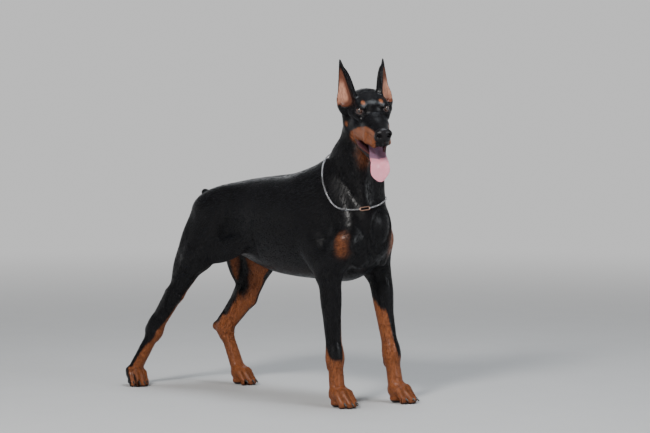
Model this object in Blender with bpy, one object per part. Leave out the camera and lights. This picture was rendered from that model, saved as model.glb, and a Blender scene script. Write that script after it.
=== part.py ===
"""Doberman pinscher, life size, standing with its head turned to its right and its mouth open.

The body is one implicit form: tapered rods, spindles and one lofted trunk, blended smoothly. It is
meshed a region at a time and parted into named nodes by thin cuts. Every length below is in
centimetres of a dog 70 cm tall at the withers: +X is forward, +Y the dog's left, the floor is z = 0.
"""
import math
from itertools import permutations, product

import bmesh
import bpy
import numpy as np
from mathutils import Matrix, Vector

WITHERS_HEIGHT = 0.70
CM = WITHERS_HEIGHT / 70
GAP = 0.03
OUTSIDE = 5.0
SIDES = {"right": -1, "left": 1}

# Head: the midpoint between the eyes, and how the head is turned, tipped and rolled
EYE_LINE = np.array((30.1, -6.7, 86.1))
HEAD_YAW, HEAD_PITCH, HEAD_ROLL = (math.radians(v) for v in (-34, -20, 5.5))
JAW_HINGE = (-4.5, -2.8)
JAW_GAPE = math.radians(25)
UPPER_LIP_HANG = {"right": 1.4, "left": 0.75}
EYE_PLACE = (-0.75, 3.55, -0.15)
EYE_RADIUS = 1.2
EAR_BASE = {"right": (-7.2, -5.6, 0.6), "left": (-7.2, 4.9, 0.6)}
EAR_TIP = {"right": (-11.2, -6.9, 11.5), "left": (-10.6, 5.6, 10.8)}
EAR_HALF_WIDTH = {"right": 3.5, "left": 2.8}
EAR_BELL = {"right": 2.1, "left": 0.7}
EAR_TURN = math.radians(45)
TONGUE_WIDTHS, TONGUE_THICKNESS = (1.7, 2.2, 2.5, 2.6, 2.8, 2.7, 1.7), 0.42

# Trunk stations: x, top, bottom, half width, height of the widest point
TRUNK = (
    (-43.4, 58.0, 52.8, 2.6, 55.4),
    (-41.0, 60.3, 49.5, 5.0, 54.6),
    (-36.8, 61.7, 45.5, 7.2, 54.0),
    (-30.0, 63.4, 42.5, 8.2, 53.5),
    (-22.0, 64.8, 39.3, 8.8, 53.0),
    (-14.0, 65.8, 37.0, 10.3, 52.5),
    (-5.0, 66.9, 36.0, 11.6, 52.0),
    (3.0, 69.0, 35.7, 11.8, 51.5),
    (10.0, 69.5, 35.3, 10.8, 50.0),
    (16.0, 66.5, 36.2, 9.3, 49.0),
    (21.5, 61.0, 39.4, 7.6, 48.5),
    (25.5, 56.0, 43.5, 5.0, 48.5),
)

# Joints of each leg, and the way its foot turns out, degrees
FORELEG = {
    "right": dict(top=(8.5, -4.5, 65.5), shoulder=(21.2, -8.2, 47.8), elbow=(15.6, -9.4, 38.0),
                  wrist=(17.8, -9.2, 14.0), knuckle=(18.7, -9.2, 4.6), turn=-4),
    "left": dict(top=(9.0, 4.5, 65.5), shoulder=(20.5, 7.2, 48.2), elbow=(17.4, 10.1, 38.4),
                 wrist=(22.9, 10.0, 14.0), knuckle=(24.6, 10.0, 4.6), turn=4),
}
HINDLEG = {
    "right": dict(hip=(-35.0, -5.8, 53.5), stifle=(-38.4, -9.6, 40.8), shin=(-46.4, -10.6, 29.2),
                  hock=(-54.3, -11.5, 17.6), heel=(-56.5, -11.5, 17.6), knuckle=(-61.7, -13.5, 4.6), turn=-22),
    "left": dict(hip=(-35.0, 5.8, 53.5), stifle=(-31.2, 9.8, 38.6), shin=(-36.6, 9.7, 28.4),
                 hock=(-44.6, 9.5, 16.8), heel=(-48.2, 9.5, 17.6), knuckle=(-39.6, 10.0, 4.6), turn=4),
}
STIFLE_DEPTHS = {"right": (3.5, 4.4), "left": (3.0, 5.8)}
SHIN_DEPTHS = {"right": (2.5, 2.7), "left": (3.1, 5.0)}
FOREPAW_SIZE, HINDPAW_SIZE = 1.0, 0.93

# Parting planes: a point and the direction of the side that is parted off
HEAD_CUT = ((19.5, -0.75, 81.2), (0.51, -0.345, 0.78))
NECK_CUT = ((17.5, 0, 66.2), (0.447, 0, 0.894))
TAIL_CUT = ((-41.9, 0, 59.5), (-0.8, 0, 0.6))
FORELEG_CUT_HEIGHT = 34.6
THIGH_CORNER = (-32.4, 0, 58.5)
THIGH_INNER_FACE = 3.2
JAW_BLOCK_DEPTH = 5.7

# Collar: a point inside the neck, the plane that the chain hangs from, how far it sags at the sides,
# where its long link is, and its sizes
CHAIN_CENTRE, CHAIN_NORMAL, CHAIN_SAG = (17.0, 0.0, 66.8), (0.56, -0.11, 0.7), 6.6
LINK_PLACE = (25.7, -4.9, 57.4)
CHAIN_RADIUS, CHAIN_CLEARANCE = 0.27, 0.22
CHAIN_POINTS, CHAIN_LIFTS = 60, 6
LINK_LENGTH, LINK_WIDTH, LINK_WIRE = 2.8, 0.9, 0.17

COLOURS = {
    "black_coat": ((0.012, 0.012, 0.014), 0.45, 0.0),
    "tan_coat": ((0.30, 0.11, 0.04), 0.6, 0.0),
    "nose_leather": ((0.015, 0.014, 0.015), 0.35, 0.0),
    "tongue": ((0.75, 0.35, 0.38), 0.4, 0.0),
    "eye": ((0.05, 0.02, 0.01), 0.05, 0.0),
    "chain_steel": ((0.62, 0.62, 0.63), 0.25, 1.0),
    "ring_brass": ((0.72, 0.48, 0.30), 0.3, 1.0),
}


def vec(*values):
    return np.array(values, float)


def unit(v):
    v = np.asarray(v, float)
    return v / np.linalg.norm(v)


def head_axes():
    """The head's own forward, left and up directions."""
    level = vec(math.cos(HEAD_YAW), math.sin(HEAD_YAW), 0)
    forward = level * math.cos(HEAD_PITCH) + vec(0, 0, math.sin(HEAD_PITCH))
    left = vec(-math.sin(HEAD_YAW), math.cos(HEAD_YAW), 0)
    up = np.cross(forward, left)
    c, s = math.cos(HEAD_ROLL), math.sin(HEAD_ROLL)
    return forward, left * c + up * s, up * c - left * s


FORWARD, LEFT, UP = head_axes()


def at_head(f, l, u):
    """A point given from the midpoint of the eyes, along the head's forward, left and up."""
    return EYE_LINE + f * FORWARD + l * LEFT + u * UP


def at_jaw(f, l, u):
    """A point given for the closed jaw, swung open about its hinge."""
    x, z = f - JAW_HINGE[0], u - JAW_HINGE[1]
    c, s = math.cos(JAW_GAPE), math.sin(JAW_GAPE)
    return at_head(JAW_HINGE[0] + x * c + z * s, l, JAW_HINGE[1] + z * c - x * s)


class Rod:
    """A tapered rod of oval section; radii are (side, front, back), or one number for all."""

    def __init__(self, start, end, start_radii, end_radii, blend, side=(0, 1, 0), cut=False):
        self.start, self.end = np.asarray(start, float), np.asarray(end, float)
        self.length = np.linalg.norm(self.end - self.start)
        self.axis = unit(self.end - self.start)
        self.side = unit(np.asarray(side, float) - self.axis * np.dot(side, self.axis))
        self.front = np.cross(self.side, self.axis)
        self.radii = [np.broadcast_to(radii, 3).astype(float) for radii in (start_radii, end_radii)]
        self.blend, self.cut = blend, cut
        reach = max(self.radii[0].max(), self.radii[1].max()) + blend
        self.low = np.minimum(self.start, self.end) - reach
        self.high = np.maximum(self.start, self.end) + reach

    def distance(self, points):
        q = points - self.start
        along = q @ self.axis
        t = np.clip(along / self.length, 0, 1)
        s, f = q @ self.side, q @ self.front
        over = along - t * self.length
        r = self.radii[0] * (1 - t[:, None]) + self.radii[1] * t[:, None]
        rs, rf = r[:, 0], np.where(f > 0, r[:, 1], r[:, 2])
        cap = np.sqrt(rs * rf)
        k = np.sqrt((s / rs) ** 2 + (f / rf) ** 2 + (over / cap) ** 2)
        steep = np.sqrt((s / rs**2) ** 2 + (f / rf**2) ** 2 + (over / cap**2) ** 2)
        return np.where(steep > 1e-6, k * (k - 1) / np.maximum(steep, 1e-6), -np.minimum(rs, rf))


class Spindle(Rod):
    """An ellipsoid whose long axis runs from start to end; radii are (side, front), or one number."""

    def __init__(self, start, end, radii, blend, side=(0, 1, 0), cut=False):
        width, depth = np.broadcast_to(radii, 2)
        super().__init__(start, end, (width, depth, depth), (width, depth, depth), blend, side, cut)
        self.semi = vec(self.length / 2, width, depth)
        self.middle = (self.start + self.end) / 2
        reach = self.semi.max() + blend
        self.low, self.high = self.middle - reach, self.middle + reach

    def distance(self, points):
        q = points - self.middle
        q = np.stack([q @ self.axis, q @ self.side, q @ self.front], -1)
        k = np.linalg.norm(q / self.semi, axis=1)
        steep = np.linalg.norm(q / self.semi**2, axis=1)
        return np.where(steep > 1e-6, k * (k - 1) / np.maximum(steep, 1e-6), -self.semi.min())


class Trunk:
    """A loft along X through the trunk's stations, rounder below than above."""

    POWER_ABOVE, POWER_BELOW = 2.1, 1.9

    def __init__(self, stations, blend):
        self.stations = np.array(stations, float)
        self.blend, self.cut = blend, False
        reach = self.stations[:, 3].max() + blend
        self.low = vec(self.stations[0, 0] - blend, -reach, self.stations[:, 2].min() - blend)
        self.high = vec(self.stations[-1, 0] + blend, reach, self.stations[:, 1].max() + blend)

    def section(self, x):
        xs, values = self.stations[:, 0], self.stations[:, 1:]
        x = np.clip(x, xs[0], xs[-1])
        i = np.clip(np.searchsorted(xs, x) - 1, 0, len(xs) - 2)
        slope = np.gradient(values, xs, axis=0)
        h = (xs[i + 1] - xs[i])[:, None]
        t = (x - xs[i])[:, None] / h
        start = (2 * t**3 - 3 * t**2 + 1) * values[i] + (t**3 - 2 * t**2 + t) * h * slope[i]
        return start + (3 * t**2 - 2 * t**3) * values[i + 1] + (t**3 - t**2) * h * slope[i + 1]

    def distance(self, points):
        top, bottom, width, middle = self.section(points[:, 0]).T
        rise = points[:, 2] - middle
        height = np.where(rise > 0, top - middle, middle - bottom)
        power = np.where(rise > 0, self.POWER_ABOVE, self.POWER_BELOW)
        u, v = np.abs(points[:, 1]) / width + 1e-6, np.abs(rise) / height + 1e-6
        k = (u**power + v**power) ** (1 / power)
        steep = np.hypot((u / k) ** (power - 1) / width, (v / k) ** (power - 1) / height)
        across = (k - 1) / steep
        over = np.maximum(self.stations[0, 0] - points[:, 0], points[:, 0] - self.stations[-1, 0])
        return np.where(over > 0, np.maximum(across, 0) + over, np.maximum(across, over))


def in_head(points, radii):
    """Turns head radii given as (side, up, down) into a rod's own (side, front, back)."""
    return [radius if np.isscalar(radius) else (radius[0], radius[2], radius[1]) for radius in radii]


def head_rod(start, end, start_radii, end_radii, blend, place=at_head, cut=False):
    """A rod of the head from back to front; radii are (side, up, down)."""
    first, last = in_head((start, end), (start_radii, end_radii))
    return Rod(place(*start), place(*end), first, last, blend, side=LEFT, cut=cut)


def head_spindle(start, end, radii, blend, place=at_head, cut=False):
    return Spindle(place(*start), place(*end), radii, blend, side=LEFT, cut=cut)


def skull_forms():
    forms = [
        head_rod((-9.0, 0, -0.9), (-2.5, 0, -0.7), (5.0, 3.2, 4.6), (4.8, 3.0, 4.4), 1.0),
        head_spindle((-13.2, 0, 0.1), (0.8, 0, 0.1), (4.4, 2.4), 1.0),
        head_rod((-1.5, 0, -3.0), (4.0, 0, -3.7), (4.3, 2.6, 3.6), (3.6, 2.8, 2.9), 1.6),
        head_rod((3.0, 0, -3.7), (10.9, 0, -4.0), (3.6, 2.85, 2.9), (2.5, 2.6, 2.5), 1.0),
        head_rod((-8.0, 0, -6.0), (-2.6, 0, -8.6), (4.3, 3.4, 3.4), (3.9, 3.0, 3.2), 1.5),
    ]
    for s in SIDES.values():
        forms += [
            head_spindle((-12.0, s * 2.7, 0.5), (-2.0, s * 2.5, 0.6), (2.3, 1.75), 0.8),
            head_rod((-8.0, s * 5.2, -0.4), (-3.4, s * 5.25, -1.5), 1.2, 1.1, 1.2),
            head_rod((-9.8, s * 4.9, -1.8), (-8.6, s * 4.4, -6.6), 2.5, 2.3, 1.6),
            head_rod((-3.4, s * 5.25, -1.5), (1.0, s * 3.9, -2.3), 1.1, 0.8, 1.0),
            head_rod((-6.5, s * 4.0, -7.4), (-3.0, s * 4.3, -2.8), (1.3, 2.2, 2.2), (1.2, 2.0, 1.9), 1.4),
            head_spindle((-4.2, s * 4.2, 1.3), (1.2, s * 2.7, 0.8), (1.1, 0.6), 1.0),
            head_rod((-1.8, s * 5.35, -1.6), (1.2, s * 3.75, -2.6), 0.35, 0.35, 0.5),
            head_rod((1.2, s * 3.75, -2.6), (2.8, s * 2.5, -1.9), 0.35, 0.3, 0.5),
        ]
    return forms


def upper_lip_forms():
    forms = []
    for name, s in SIDES.items():
        hang = UPPER_LIP_HANG[name]
        forms += [
            head_rod((-2.4, s * 4.0, -7.7), (4.8, s * 3.1, -7.0), (0.9, 2.6, 1.6), (0.8, 2.2, hang), 1.0),
            head_rod((4.8, s * 3.1, -7.0), (9.6, s * 2.0, -6.9), (0.8, 2.2, hang), (0.8, 1.9, hang - 0.3),
                     0.6),
            head_rod((9.4, s * 1.95, -6.6), (11.6, s * 0.7, -6.1), (0.8, 1.4, 1.0), (0.8, 1.2, 0.9), 0.5),
        ]
    return forms


def mouth_forms():
    """The palate between the upper lips, and the floor of the open mouth."""
    return [
        head_rod((-1.8, 0, -8.6), (9.4, 0, -7.9), (2.8, 1.8, 1.5), (1.6, 1.5, 1.5), 0.5, cut=True),
        head_rod((-3.0, 0, -10.1), (6.6, 0, -11.4), (4.2, 0.8, 1.0), (4.2, 2.2, 0.7), 0.4, cut=True),
        head_rod((-2.4, 0, -10.4), (6.2, 0, -12.2), (2.7, 1.5, 1.0), (1.7, 1.5, 1.0), 0.5, cut=True),
    ]


def jaw_forms():
    forms = [
        head_rod((-3.5, 0, -9.4), (8.6, 0, -9.4), (3.4, 0.9, 2.2), (1.5, 0.7, 0.9), 1.2, place=at_jaw),
        head_spindle((7.4, 0, -8.9), (11.2, 0, -8.7), (1.95, 1.35), 0.6, place=at_jaw),
    ]
    for s in SIDES.values():
        forms += [
            head_rod((-3.6, s * 4.0, -7.4), (2.6, s * 3.0, -8.7), (1.0, 2.0, 1.6), (0.9, 1.3, 1.9), 1.2,
                     at_jaw),
            head_rod((2.6, s * 3.0, -8.7), (9.3, s * 1.1, -8.7), (0.8, 1.1, 1.9), (0.8, 1.0, 1.3), 0.7,
                     at_jaw),
        ]
    return forms


def lower_lip_forms():
    forms = []
    for s in SIDES.values():
        corner, side = (-3.9, s * 3.9, -9.5), (-0.2, s * 3.5, -11.5)
        front, middle = (3.4, s * 2.4, -12.5), (6.1, s * 1.2, -13.4)
        forms += [
            head_rod(corner, side, 0.75, 0.65, 0.7),
            head_rod(side, front, 0.65, 0.55, 0.5),
            head_rod(front, middle, 0.55, 0.5, 0.4),
        ]
    return forms


def nose_forms():
    forms = [
        Spindle(at_head(12.0, -2.6, -3.0), at_head(12.0, 2.6, -3.0), (1.45, 1.7), 0.5, side=FORWARD),
        head_spindle((10.4, 0, -2.4), (13.1, 0, -2.6), (1.8, 1.2), 0.4),
        head_spindle((11.6, 0, -4.6), (12.9, 0, -4.9), (1.0, 1.2), 0.4),
        head_rod((12.8, 0, -4.4), (12.2, 0, -7.4), 0.12, 0.14, 0.3, cut=True),
    ]
    for s in SIDES.values():
        forms += [
            head_spindle((12.1, s * 1.5, -3.2), (14.1, s * 1.3, -3.1), (0.68, 0.52), 0.25, cut=True),
            head_rod((12.3, s * 2.55, -3.9), (13.3, s * 1.7, -3.5), 0.16, 0.22, 0.2, cut=True),
        ]
    return forms


def ear_frame(name):
    """Base, tip, the way the cup opens, and the way the ear is wide."""
    s = SIDES[name]
    base, tip = at_head(*EAR_BASE[name]), at_head(*EAR_TIP[name])
    axis = unit(tip - base)
    opening = FORWARD * math.cos(EAR_TURN) + s * LEFT * math.sin(EAR_TURN)
    opening = unit(opening - axis * np.dot(opening, axis))
    return base, tip, axis, opening, np.cross(opening, axis)


def ear_forms(name):
    base, tip, axis, opening, wide = ear_frame(name)
    out = SIDES[name] * LEFT
    width, bell = EAR_HALF_WIDTH[name], EAR_BELL[name]
    inner = -out * 0.85 + FORWARD * 0.35
    low, high = base + opening * 1.35, tip + opening * 0.5 - axis * 2.0
    return [
        Rod(base, tip, (width, 1.9, 1.9), (0.35, 0.25, 0.25), 0.8, side=wide),
        Spindle(base - axis * 4.5 + out * 0.5, base + axis * 3.0 + out * 0.5, (2.5, 2.1), 1.2, side=wide),
        Spindle(base - axis * 4.6 + out * bell * 0.5, base + axis * bell + out * bell, 1.7, 1.2, side=wide),
        Spindle(base + inner * 1.9 - axis, base + inner * 0.9 + axis * 9.0, (1.35, 0.75), 0.8, side=wide),
        Rod(low, high, (width - 0.6, 1.5, 1.5), (0.3, 0.25, 0.25), 0.35, side=wide, cut=True),
    ]


def eye_frame(s):
    """Centre, gaze and the line from corner to corner of one eye."""
    gaze = unit(FORWARD * 0.84 + s * LEFT * 0.54)
    return at_head(EYE_PLACE[0], s * EYE_PLACE[1], EYE_PLACE[2]), gaze, unit(np.cross(UP, gaze))


def lid_forms(s):
    centre, gaze, across = eye_frame(s)
    front = centre + gaze * 1.2
    return [
        Spindle(centre - across * 1.75, centre + across * 1.75, (1.55, 1.5), 0.5, side=gaze),
        Spindle(front - across * 1.35, front + across * 1.35, (1.0, 0.68), 0.1, side=gaze, cut=True),
    ]


def head_forms():
    forms = skull_forms() + upper_lip_forms() + jaw_forms() + mouth_forms()
    forms += lower_lip_forms() + nose_forms()
    for name, s in SIDES.items():
        forms += ear_forms(name) + lid_forms(s)
    return forms


def neck_and_chest_forms():
    poll = at_head(-8.6, 0, -2.2)
    forms = [
        Rod((10, 0, 60), (16.5, 0, 70), (6.5, 8.5, 7.5), (5.2, 7.0, 7.5), 6.0),
        Rod((16.8, 0, 70), (19.6, 0, 80), (5.0, 6.8, 6.4), (4.6, 5.6, 5.0), 3.0),
        Rod((19.6, 0, 80), poll, (4.6, 5.4, 4.9), (4.9, 4.4, 4.9), 2.0),
        Rod((20.5, 0, 73.5), (22.8, 0, 56), (4.6, 4.8, 4.0), (6.0, 5.0, 4.0), 4.0),
        Spindle((14, 0, 41), (27.2, 0, 54.5), (5.6, 6.0), 6.0),
    ]
    for s in SIDES.values():
        forms += [
            Spindle((20.5, s * 3.9, 57), (23.4, s * 4.8, 40), 3.6, 1.8),
            Rod(at_head(-9.5, s * 3.9, -7.0), (23.6, s * 3.4, 60), 1.5, 1.5, 1.6),
        ]
    return forms


def foreleg_forms(name):
    joint = {key: vec(*value) for key, value in FORELEG[name].items() if key != "turn"}
    s, top, shoulder, elbow = SIDES[name], joint["top"], joint["shoulder"], joint["elbow"]
    wrist, knuckle = joint["wrist"], joint["knuckle"]
    muscle_end = elbow * 0.45 + wrist * 0.55
    return [
        Spindle(top, shoulder + vec(1, 0, -1), (3.0, 6.2), 3.0),
        Spindle(shoulder + vec(-17, s * -0.5, 6), elbow + vec(2, 0, -2), (3.6, 5.5), 1.6),
        Rod(shoulder, elbow, (3.6, 4.5, 4.5), (3.4, 3.6, 3.6), 2.4),
        Spindle(shoulder + vec(-0.6, s * 1.3, 3.4), shoulder + vec(0.2, s * 1.0, -3.4), (2.7, 2.6), 1.2),
        Rod((9.5, s * 7.0, 63.5), shoulder + vec(-1.6, s * 1.2, 3.0), 0.8, 0.6, 1.8),
        Rod(elbow, wrist, (2.9, 3.3, 3.6), 2.15, 1.5),
        Spindle(elbow + vec(1.2, s * 0.6, 2), muscle_end, (2.6, 3.0), 1.2),
        Spindle(elbow + vec(-3.8, 0, 3), elbow + vec(-1.2, 0, -2), 1.4, 1.5),
        Spindle(wrist + vec(0, 0, 4.0), wrist + vec(0.2, 0, -3.6), (2.5, 2.35), 2.0),
        Rod(wrist, knuckle, (2.15, 2.0, 2.1), (2.6, 2.0, 2.2), 1.2),
        Spindle(wrist + vec(-2.2, 0, -0.8), wrist + vec(-1.8, 0, -4.0), 1.0, 0.8),
    ] + paw_forms(knuckle, FORELEG[name]["turn"], FOREPAW_SIZE)


def hindleg_forms(name):
    joint = {key: vec(*value) for key, value in HINDLEG[name].items() if key != "turn"}
    s, hip, stifle, hock = SIDES[name], joint["hip"], joint["stifle"], joint["hock"]
    shin, heel, knuckle = joint["shin"], joint["heel"], joint["knuckle"]
    seat = vec(-38.6, s * 5.2, 54.0)
    calf = stifle * 0.55 + hock * 0.45 + vec(-0.8, 0, 2)
    depths = SHIN_DEPTHS[name]
    return [
        Spindle((-25, s * 4.5, 60), (-41.4, s * 5.8, 53), (4.0, 5.0), 3.0),
        Rod(hip, stifle, (5.0, 7.2, 6.8), (3.8, 3.9, 4.8), 3.0),
        Spindle(seat, calf, (3.4, 3.6), 3.0),
        Rod(stifle, shin, (3.4, *STIFLE_DEPTHS[name]), (2.6, *depths), 2.0),
        Rod(shin, hock, (2.6, *depths), (1.9, 2.0, 2.0), 1.5),
        Rod(shin + vec(-2.4, 0, 0), heel, 1.2, 1.1, 2.0),
        Rod(hock, heel, (1.7, 1.9, 1.9), 1.35, 1.2),
        Spindle(hock + vec(0.2, 0, 4.0), hock + vec(-0.2, 0, -3.6), (2.05, 2.1), 2.0),
        Rod(hock, knuckle, (1.85, 1.9, 2.0), (2.4, 1.8, 2.0), 1.5),
        Spindle((-19, s * 8.5, 45), stifle + vec(2, 0, 0), (1.2, 3.4), 4.0),
        Spindle((-28.5, s * 6.8, 56.5), stifle + vec(2.6, s * 0.8, 1.0), (2.2, 2.5), 3.0),
        Spindle((-39.2, s * 7.0, 54.5), stifle + vec(-4.6, s * 0.8, 1.0), (2.2, 2.5), 1.6),
    ] + paw_forms(knuckle, HINDLEG[name]["turn"], HINDPAW_SIZE)


def paw_axes(turn):
    a = math.radians(turn)
    return vec(math.cos(a), math.sin(a), 0), vec(-math.sin(a), math.cos(a), 0)


def toes(knuckle, turn, size):
    """Root, bend and tip of each toe; the middle two reach further and arch higher."""
    ahead, across = paw_axes(turn)
    for place in (-1.5, -0.5, 0.5, 1.5):
        middle = abs(place) < 1
        reach = (6.0 if middle else 4.6) * size
        root = knuckle + across * place * 1.25 * size + ahead * 0.4 + vec(0, 0, 0.2)
        drop = 0.2 if middle else 0.7
        bend = knuckle + across * place * 1.55 * size + ahead * reach * 0.55 - vec(0, 0, drop)
        tip = knuckle + across * place * 1.6 * size + ahead * reach
        tip[2] = 1.35
        yield root, bend, tip


def paw_forms(knuckle, turn, size):
    ahead, across = paw_axes(turn)
    instep, pad = knuckle - vec(0, 0, 1.2), knuckle - vec(0, 0, 3.4)
    forms = [
        Spindle(instep - ahead * 2.2 * size, instep + ahead * 3.6 * size, (2.9 * size, 2.3), 1.2,
                side=across),
        Spindle(pad - ahead * 1.6, pad + ahead * 2.4, (2.4 * size, 1.4), 0.6, side=across),
    ]
    for root, bend, tip in toes(knuckle, turn, size):
        sole = tip - vec(0, 0, 0.7)
        forms += [
            Rod(root, bend, 1.2 * size, 1.15 * size, 0.8, side=across),
            Rod(bend, tip, 1.15 * size, 1.0 * size, 0.4, side=across),
            Spindle(sole - ahead * 1.2, sole + ahead * 0.8, (0.98 * size, 0.85), 0.4, side=across),
        ]
    return forms


def body_forms():
    forms = [Trunk(TRUNK, 2.0)] + neck_and_chest_forms()
    for name in SIDES:
        forms += hindleg_forms(name) + foreleg_forms(name)
    forms.append(Rod((-40.8, 0, 58.5), (-43.9, 0, 59.8), 1.8, 1.2, 1.5))
    return forms + head_forms()


def tongue_path():
    """From the back of the mouth along its floor, over the chin, and hanging from there."""
    spots = ((-2.2, 0.4, -10.8), (1.8, 0.6, -11.9), (5.6, 0.1, -12.8), (7.6, 0, -13.4), (8.5, -0.1, -14.6),
             (9.1, -0.2, -16.4), (9.5, -0.1, -17.8))
    return [at_head(*spot) for spot in spots]


def tongue_forms():
    path, forms = tongue_path(), []
    for i in range(len(path) - 1):
        start, end = ((width, TONGUE_THICKNESS, TONGUE_THICKNESS) for width in TONGUE_WIDTHS[i:i + 2])
        forms.append(Rod(path[i], path[i + 1], start, end, 0.35, side=LEFT))
    return forms


def blended(old, new, k, cut):
    """Smooth union of two values, or smooth difference where the new form cuts."""
    if cut:
        h = np.clip(0.5 - 0.5 * (old + new) / k, 0, 1)
        return old * (1 - h) - new * h + k * h * (1 - h)
    h = np.clip(0.5 + 0.5 * (new - old) / k, 0, 1)
    return new * (1 - h) + old * h - k * h * (1 - h)


def values_at(forms, points):
    """The value at each point: below zero inside the body, and about the distance near its surface."""
    values = np.full(len(points), OUTSIDE)
    for form in forms:
        near = np.all((points > form.low) & (points < form.high), axis=1)
        if near.any():
            values[near] = blended(values[near], form.distance(points[near]), form.blend, form.cut)
    return values


def values_on_grid(forms, low, counts, step):
    """Each form is worked out only in the part of the grid that it reaches."""
    axes = [low[i] + step * np.arange(counts[i]) for i in range(3)]
    values = np.full(counts, OUTSIDE)
    for form in forms:
        first = np.clip(np.floor((form.low - low) / step), 0, counts).astype(int)
        last = np.clip(np.ceil((form.high - low) / step) + 1, 0, counts).astype(int)
        if np.any(first >= last):
            continue
        part = tuple(slice(a, b) for a, b in zip(first, last))
        grid = np.stack(np.meshgrid(*[axes[i][part[i]] for i in range(3)], indexing="ij"), -1)
        distance = form.distance(grid.reshape(-1, 3)).reshape(grid.shape[:3])
        values[part] = blended(values[part], distance, form.blend, form.cut)
    return values


BODY = body_forms()

# The six tetrahedra of a grid cell, all round its long diagonal, and their even corner orders
EVEN_ORDERS = (0, 1, 2), (1, 2, 0), (2, 0, 1)
TETRAHEDRA = [(order, 1 if order in EVEN_ORDERS else -1) for order in permutations(range(3))]
ONE_APART = ((0, 1, 2, 3), (1, 0, 3, 2), (2, 3, 0, 1), (3, 2, 1, 0))
TWO_APART = ((0, 1, 2, 3), (0, 2, 3, 1), (0, 3, 1, 2), (1, 2, 0, 3), (1, 3, 2, 0), (2, 3, 0, 1))


def surface(values, low, step):
    """Triangles round the zero level of a grid of values, closed and manifold."""
    inside = values < 0
    cells = np.array(values.shape) - 1
    corners = [np.array(c) for c in product((0, 1), repeat=3)]
    parts = [tuple(slice(c, c + n) for c, n in zip(corner, cells)) for corner in corners]
    count = sum(inside[part].astype(int) for part in parts)
    cell = np.argwhere((count > 0) & (count < 8))
    triangles = []
    for order, turn in TETRAHEDRA:
        steps = np.cumsum([np.zeros(3, int)] + [np.eye(3, dtype=int)[axis] for axis in order], axis=0)
        points = cell[:, None] + steps
        within = inside[tuple(np.moveaxis(points, 2, 0))]
        number = within.sum(axis=1)
        for i, j, k, l in ONE_APART:
            for lone, way in ((1, turn), (3, -turn)):
                hit = points[(number == lone) & (within[:, i] == (lone == 1))]
                triangles.append(np.stack([hit[:, (i, m)] for m in (j, k, l)], 1)[:, ::way])
        for i, j, k, l in TWO_APART:
            hit = points[(number == 2) & within[:, i] & within[:, j]]
            ring = [hit[:, pair] for pair in ((i, k), (i, l), (j, l), (j, k))]
            triangles.append(np.stack((ring[0], ring[1], ring[2]), 1)[:, ::turn])
            triangles.append(np.stack((ring[0], ring[2], ring[3]), 1)[:, ::turn])
    return crossing_points(np.concatenate(triangles), values, low, step)


def crossing_points(triangles, values, low, step):
    """Places each triangle corner where the surface crosses its grid edge, once for each edge."""
    ends = triangles.reshape(-1, 2, 3)
    number = np.ravel_multi_index(tuple(np.moveaxis(ends, 2, 0)), values.shape)
    number.sort(axis=1)
    edges, corner = np.unique(number, axis=0, return_inverse=True)
    first, last = (values.ravel()[edges[:, i]] for i in (0, 1))
    t = (first / (first - last))[:, None]
    start, end = (np.stack(np.unravel_index(edges[:, i], values.shape), 1) for i in (0, 1))
    return low + step * (start + t * (end - start)), corner.reshape(-1, 3)


def new_object(name, vertices, faces):
    """An object from vertices in centimetres."""
    mesh = bpy.data.meshes.new(name)
    mesh.from_pydata((np.asarray(vertices) * CM).tolist(), [], np.asarray(faces).tolist())
    obj = bpy.data.objects.new(name, mesh)
    bpy.context.scene.collection.objects.link(obj)
    return obj


def use_modifiers(obj):
    """Turns an object's modifiers into its mesh."""
    graph = bpy.context.evaluated_depsgraph_get()
    mesh = bpy.data.meshes.new_from_object(obj.evaluated_get(graph))
    obj.modifiers.clear()
    obj.data = mesh


def remove(obj):
    bpy.data.objects.remove(obj)


def keep_largest(obj):
    """Keeps the largest closed surface of an object."""
    work = bmesh.new()
    work.from_mesh(obj.data)
    left, groups = set(work.verts), []
    while left:
        group, edge = set(), [left.pop()]
        while edge:
            vertex = edge.pop()
            group.add(vertex)
            near = {e.other_vert(vertex) for e in vertex.link_edges} & left
            left -= near
            edge += near
        groups.append(group)
    groups.sort(key=len)
    for group in groups[:-1]:
        bmesh.ops.delete(work, geom=list(group), context="VERTS")
    work.to_mesh(obj.data)
    work.free()


def flesh(name, low, high, step, triangles, forms=BODY):
    """A closed mesh of the forms inside a box, thinned to about a number of triangles."""
    low, high = np.array(low, float), np.array(high, float)
    counts = tuple(np.ceil((high - low) / step).astype(int) + 1)
    values = values_on_grid(forms, low, counts, step)
    for axis in range(3):
        for side in (0, -1):
            np.moveaxis(values, axis, 0)[side] = np.maximum(np.moveaxis(values, axis, 0)[side], 0.5 * step)
    obj = new_object(name, *surface(values, low, step))
    thin = obj.modifiers.new("thin", "DECIMATE")
    thin.ratio = min(1.0, triangles / len(obj.data.polygons))
    use_modifiers(obj)
    keep_largest(obj)
    return obj


def boolean(obj, cutter, operation):
    cut = obj.modifiers.new("cut", "BOOLEAN")
    cut.operation, cut.object = operation, cutter
    use_modifiers(obj)


class Block:
    """A box in its own axes that marks off one node."""

    FACES = ((0, 1, 3, 2), (4, 6, 7, 5), (0, 4, 5, 1), (2, 3, 7, 6), (0, 2, 6, 4), (1, 5, 7, 3))

    def __init__(self, origin, axes, low, high):
        self.origin, self.axes = np.asarray(origin, float), np.array([unit(a) for a in axes])
        self.low, self.high = np.array(low, float), np.array(high, float)

    def solid(self, grow):
        ends = self.low - grow, self.high + grow
        corners = [[ends[pick[i]][i] for i in range(3)] for pick in product((0, 1), repeat=3)]
        return new_object("cutter", self.origin + np.array(corners) @ self.axes, self.FACES)


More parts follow.
